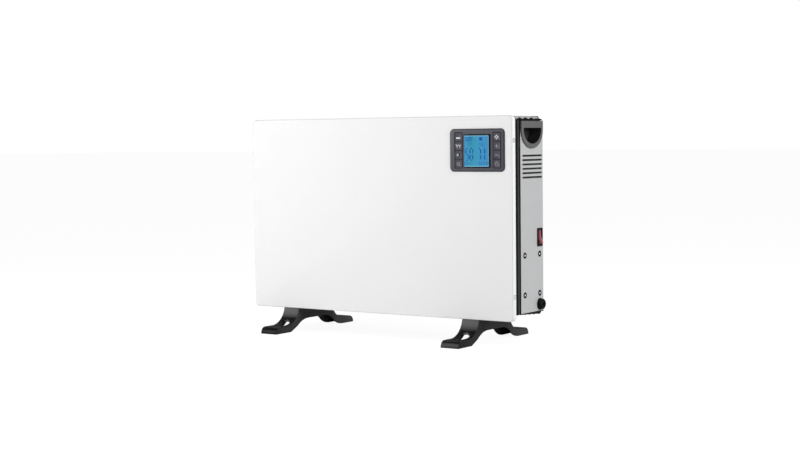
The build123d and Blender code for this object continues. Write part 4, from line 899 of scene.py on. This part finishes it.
# Seats of the screws. The radii are those of the heads in the CAD nodes.
SIDE_ROWS, SIDE_COLUMNS = ends("side_screws", Z, 2.7), ends("side_screws", Y, 2.7)
SIDE_SEATS = both([(SIDE_X, y, z) for z in SIDE_ROWS for y in SIDE_COLUMNS])
PANEL_SEATS = both([(PANEL_X, centre("panel_screws", Y), z) for z in ends("panel_screws", Z, 2.6)])
REAR_X, REAR_MIDDLE = ends("rear_screws", X, 3.2)[1], centre("rear_screws", Z)
REAR_LOW, REAR_HIGH = ends("rear_screws", Z, 3.2)
REAR_SEATS = both([(REAR_X, BACK_Y, z) for z in (REAR_LOW, REAR_MIDDLE, REAR_HIGH)])
FOOT_X, FOOT_SEAT = ends("foot_screws", X, 4.2)[1], span("foot_screws", Z)[0] + 2.4
FOOT_SEATS = both([(FOOT_X, y, FOOT_SEAT) for y in ends("foot_screws", Y, 4.2)])

screws("side_screws", SIDE_SEATS,
       [(1.7, -7.2), (1.7, 0.15), (1.9, 0.15), (1.9, 0.4), (1.75, 0.6), (1.4, 0.72), (0.9, 0.75)],
       (1.0, 0.36), SCREW_WHITE)
rings("side_washer_rings", SIDE_SEATS,
      [(1.9, 0.02), (5.5, 0.02), (5.7, 0.2), (5.6, 0.5), (5.3, 0.6), (2.4, 0.5), (1.9, 0.1)],
      WASHER_AND_GAP_SHADE_BLACK, "screw_washers")
screws("panel_screws", PANEL_SEATS,
       [(1.4, -7.5), (1.4, 0.0), (2.6, 0.0), (2.6, 0.25), (2.3, 0.65), (1.6, 0.85), (0.8, 0.9)],
       (1.4, 0.55), SCREW_WHITE)
# Painted shade of the gap round each panel screw, as a flat grey ring.
rings("panel_screw_shade_rings", PANEL_SEATS, [(3.1, -0.1), (4.2, -0.1), (4.2, 0.08), (3.1, 0.08)], SCREW_GAP_SHADE_GREY)
screws("rear_screws", REAR_SEATS,
       [(1.7, -5.6), (1.7, 0.0), (3.2, 0.0), (3.2, 0.4), (2.9, 1.0), (2.1, 1.3), (1.2, 1.4)],
       (1.8, 0.7), MATS["steel"], outward=(0, 1, 0))
screws("foot_screws", FOOT_SEATS,
       [(2.1, -11.5), (2.1, 0.0), (4.2, 0.0), (4.2, 0.9), (3.8, 1.8), (2.8, 2.3), (1.4, 2.4)],
       (2.4, 0.9), MATS["steel"], outward=(0, 0, -1))


def gland():
    """Round cable entry with a domed nose, grip ribs and an open bore."""
    steps, ribbed_rows, rib_share = 48, (6, 7), 0.05
    place = Vector((SIDE_X, *GLAND))
    profile = [(3.6, -12.0), (6.2, -12.0), (6.2, 0.0), (11.0, 0.0), (11.0, 1.2), (9.6, 1.7), (9.6, 6.0),
               (9.4, 7.0), (8.8, 8.0), (7.6, 8.8), (6.0, 9.25), (4.4, 9.3), (3.6, 8.6)]
    loops = turned(profile, place, (1, 0, 0), steps)
    for row in ribbed_rows:
        for index, point in enumerate(loops[row]):
            if index % 4 < 2:
                away = Vector((0, point.y - place.y, point.z - place.z))
                loops[row][index] = point + away * rib_share
    bm = bmesh.new()
    loft(bm, loops, ring=True)
    to_piece("cable_gland_skin", bm, MATS["black_plastic"], "cable_gland")


gland()


# Outlet and its crown

# Places across a slat from -1 to 1, each with its share of the crest's height
CREST = [(share, math.cos(share * math.pi / 2) ** 0.9)
         for share in (-1 + step / 7 for step in range(15))]


def slat_section(middle, half):
    """Section of one slat, its crest above and its hollow below."""
    height, sheet = 4.0, 1.2
    outer = [(middle + half * share, CROWN_TOP + SLAT_LAND + (height - SLAT_LAND) * lift)
             for share, lift in CREST]
    inner = [(middle + (half - sheet) * share, CROWN_TOP + (height - sheet) * lift)
             for share, lift in CREST]
    return outer + inner[::-1]


def end_section(middle, half):
    """Section of a slat's closed end, which hangs over the crown's rim."""
    top, rise, sag = CROWN_TOP + SLAT_LAND, 2.9, 2.2
    upper = [(middle + half * share, top + rise * lift) for share, lift in CREST]
    lower = [(middle + half * share, top - 0.1 - sag * lift ** 3) for share, lift in CREST]
    return upper + lower[::-1]


def outlet():
    """Four bright slats with soft crests, joined by ribs, and the light end of the crown's crest."""
    slats, gap, rib = 4, 1.5, 3.0
    pitch = (SLATS_BACK - SLATS_FRONT + gap) / slats
    width = pitch - gap
    middles = [SLATS_FRONT + width / 2 + pitch * place for place in range(slats)]
    bm = bmesh.new()
    for middle in middles:
        loft(bm, [at_x(slat_section(middle, width / 2), x) for x in (-SLATS_X, SLATS_X)])
        for side in (-1, 1):
            loft(bm, [at_x(end_section(middle, width / 2), side * x) for x in (SLATS_X, SIDE_X + 0.15)])
    for place in range(-2, 3):
        for middle in middles[:-1]:
            points = rounded(rib, gap + 0.8, 0.3, ((SLATS_X - rib) * place / 2, middle + pitch / 2), 2)
            loft(bm, [[(x, y, z) for x, y in points] for z in (CROWN_TOP, CROWN_TOP + SLAT_LAND)])
    crest = [(SLATS_BACK - 10.6, CROWN_TOP - 0.4), (SLATS_BACK - 10.6, CROWN_TOP + 3.0),
             (SLATS_BACK, CROWN_TOP + 3.2), (SLATS_BACK + 4.8, CROWN_TOP - 0.4)]
    for side in (-1, 1):
        loft(bm, [at_x(crest, side * x) for x in (SIDE_X - 0.5, SIDE_X + 0.2)])
    to_piece("outlet_slats", bm, MATS["silver_grille"], "top_grille")


def crest_lips():
    """Black lips that run from the crown's crest over the last slat's ends."""
    lip = [(SLATS_BACK + dy, CROWN_TOP + dz) for dy, dz in
           ((-13.6, 3.3), (1.6, 3.3), (6.0, -0.4), (8.2, -0.4), (3.0, 4.1), (-13.6, 4.0))]
    bm = bmesh.new()
    for side in (-1, 1):
        loft(bm, [at_x(lip, side * x) for x in (SIDE_X - 4.5, SIDE_X + 0.3)])
    to_piece("crest_lips", bm, MATS["black_plastic"])


outlet()
crest_lips()


# Rear cover, and the chassis frame's edge with its painted gap shadow

def rear_cover():
    """Sheet back with round-ended air slots, keyholes and two pressed grooves."""
    sheet, air_rows, air_pitch = 1.2, (102, 363), 28
    keyhole_x, groove_x, groove_depth = 190, 150, 0.6
    outline = rectangle(-COVER_X, COVER_X, COVER_BOTTOM, COVER_TOP)
    piece = slab("rear_cover_skin", outline, COVER_Y - sheet, COVER_Y, MATS["grey_shell"])
    cuts = [rounded(7, 40, 3.5, (air_pitch * place, z), 6) for place in range(-4, 5) for z in air_rows]
    cuts += [disc(1.9, (x, z)) for x, y, z in REAR_SEATS]
    for x in (-keyhole_x, keyhole_x):
        cuts += [disc(3.0, (x, 86)), disc(5.5, (x, 369), 32), rounded(5.5, 18.0, 2.75, (x, 375), 6)]
    cutters = [slab("cut", points, COVER_Y - 3, COVER_Y + 1) for points in cuts]
    for x in (-groove_x, groove_x):
        groove = rounded(8, 169, 4, (x, REAR_MIDDLE), 6)
        cutters.append(slab("groove", groove, COVER_Y - groove_depth, COVER_Y + 1))
    for cutter in cutters:
        carve(piece, cutter)
    settle(piece, "rear_cover")


def chassis_shadow_gaps():
    """Near-black edge of the chassis frame between its strip and the side panels, a painted shadow of
    the gap there.
    """
    edge = rectangle(SIDE_X - 4, SIDE_X - 0.8, FRAME_Y - 0.2, FRAME_Y + 1.28)
    bm = bmesh.new()
    for side in (-1, 1):
        loft(bm, [[(side * x, y, z) for x, y in edge] for z in (SIDE_BOTTOM, SIDE_TOP)])
    to_piece("chassis_shadow_gaps", bm, WASHER_AND_GAP_SHADE_BLACK)


rear_cover()
chassis_shadow_gaps()

# CAD nodes whose edges only need rounding, with the rounding and its steps
for rounded_node, edge_width, edge_segments in (
        ("foot_right", 0.7, 3), ("foot_left", 0.7, 3), ("top_frame", 0.6, 2), ("chassis_frame", 0.35, 2),
        ("rocker_paddle", 0.4, 2), ("rocker_housing", 0.3, 2), ("bottom_grille", 0.25, 2)):
    soften(rounded_node, edge_width, edge_segments)


# Floor, world, light and camera, in metres

def camera_sees(tree, shader, other, share, out):
    """Shows the camera the first shader, mixed in by a share, and every other ray the second."""
    path = tree.nodes.new("ShaderNodeLightPath")
    mix = tree.nodes.new("ShaderNodeMixShader")
    tree.links.new(combine(tree, "MULTIPLY", path.outputs["Is Camera Ray"], share), mix.inputs["Fac"])
    tree.links.new(other, mix.inputs[1])
    tree.links.new(shader, mix.inputs[2])
    tree.links.new(mix.outputs["Shader"], out.inputs["Surface"])


def stage_floor():
    """Pale floor that takes shadows and is nearly white to the camera."""
    material = bpy.data.materials.new("pale floor")
    material.use_nodes = True
    tree = material.node_tree
    tree.nodes.clear()
    out = tree.nodes.new("ShaderNodeOutputMaterial")
    paint = tree.nodes.new("ShaderNodeBsdfDiffuse")
    paint.inputs["Color"].default_value = (0.86, 0.86, 0.86, 1)
    glow = tree.nodes.new("ShaderNodeEmission")
    glow.inputs["Strength"].default_value = 1.09
    camera_sees(tree, glow.outputs["Emission"], paint.outputs["BSDF"], 0.85, out)
    bm = bmesh.new()
    bmesh.ops.create_grid(bm, x_segments=8, y_segments=8, size=40)
    to_piece("floor", bm, material, body=None, scale=1.0)


def world_light(strength):
    """Even white light from all round, and a white backdrop for the camera."""
    world = bpy.data.worlds.new("studio")
    scene.world = world
    world.use_nodes = True
    tree = world.node_tree
    tree.nodes.clear()
    out = tree.nodes.new("ShaderNodeOutputWorld")
    soft = tree.nodes.new("ShaderNodeBackground")
    backdrop = tree.nodes.new("ShaderNodeBackground")
    for background, amount in ((soft, strength), (backdrop, 1.0)):
        background.inputs["Strength"].default_value = amount
        background.inputs["Color"].default_value = (1, 1, 1, 1)
    camera_sees(tree, backdrop.outputs["Background"], soft.outputs["Background"], 1.0, out)


def softbox(name, place, target, size, power):
    """A square area lamp that looks at a target."""
    data = bpy.data.lights.new(name, "AREA")
    data.shape = "RECTANGLE"
    data.size = data.size_y = size
    data.energy = power
    lamp = bpy.data.objects.new(name, data)
    scene.collection.objects.link(lamp)
    lamp.location = place
    lamp.rotation_euler = (Vector(target) - lamp.location).to_track_quat("-Z", "Y").to_euler()


def place_camera():
    """The camera of the reference view, in radians and metres."""
    azimuth, pitch, roll = 0.599232221, 0.0600358424, -0.0108625374
    place = (1.7035, -2.4689, 0.3771)
    focal_pixels, image_width, sensor_width = 1551.6858, 800, 36.0
    level = math.cos(pitch)
    back = Vector((math.sin(azimuth) * level, -math.cos(azimuth) * level, math.sin(pitch)))
    right = Vector((math.cos(azimuth), math.sin(azimuth), 0))
    up = right.cross(-back)
    tilted = right * math.cos(roll) + up * math.sin(roll)
    upright = -right * math.sin(roll) + up * math.cos(roll)
    data = bpy.data.cameras.new("camera")
    data.sensor_width = sensor_width
    data.lens = focal_pixels / image_width * sensor_width
    data.clip_start, data.clip_end = 0.01, 200
    camera = bpy.data.objects.new("camera", data)
    scene.collection.objects.link(camera)
    turn = Matrix((tilted, upright, back)).transposed()
    camera.matrix_world = Matrix.Translation(place) @ turn.to_4x4()
    scene.camera = camera


stage_floor()
world_light(0.37)
softbox("key", (-1.5, -1.75, 0.7), (0.6, 0, 0.3), 0.9, 33)
softbox("side", (2.7, -0.3, 1.5), (0.2, 0, 0.2), 1.6, 55)
place_camera()
scene.view_settings.view_transform = "Standard"

bpy.context.view_layer.update()
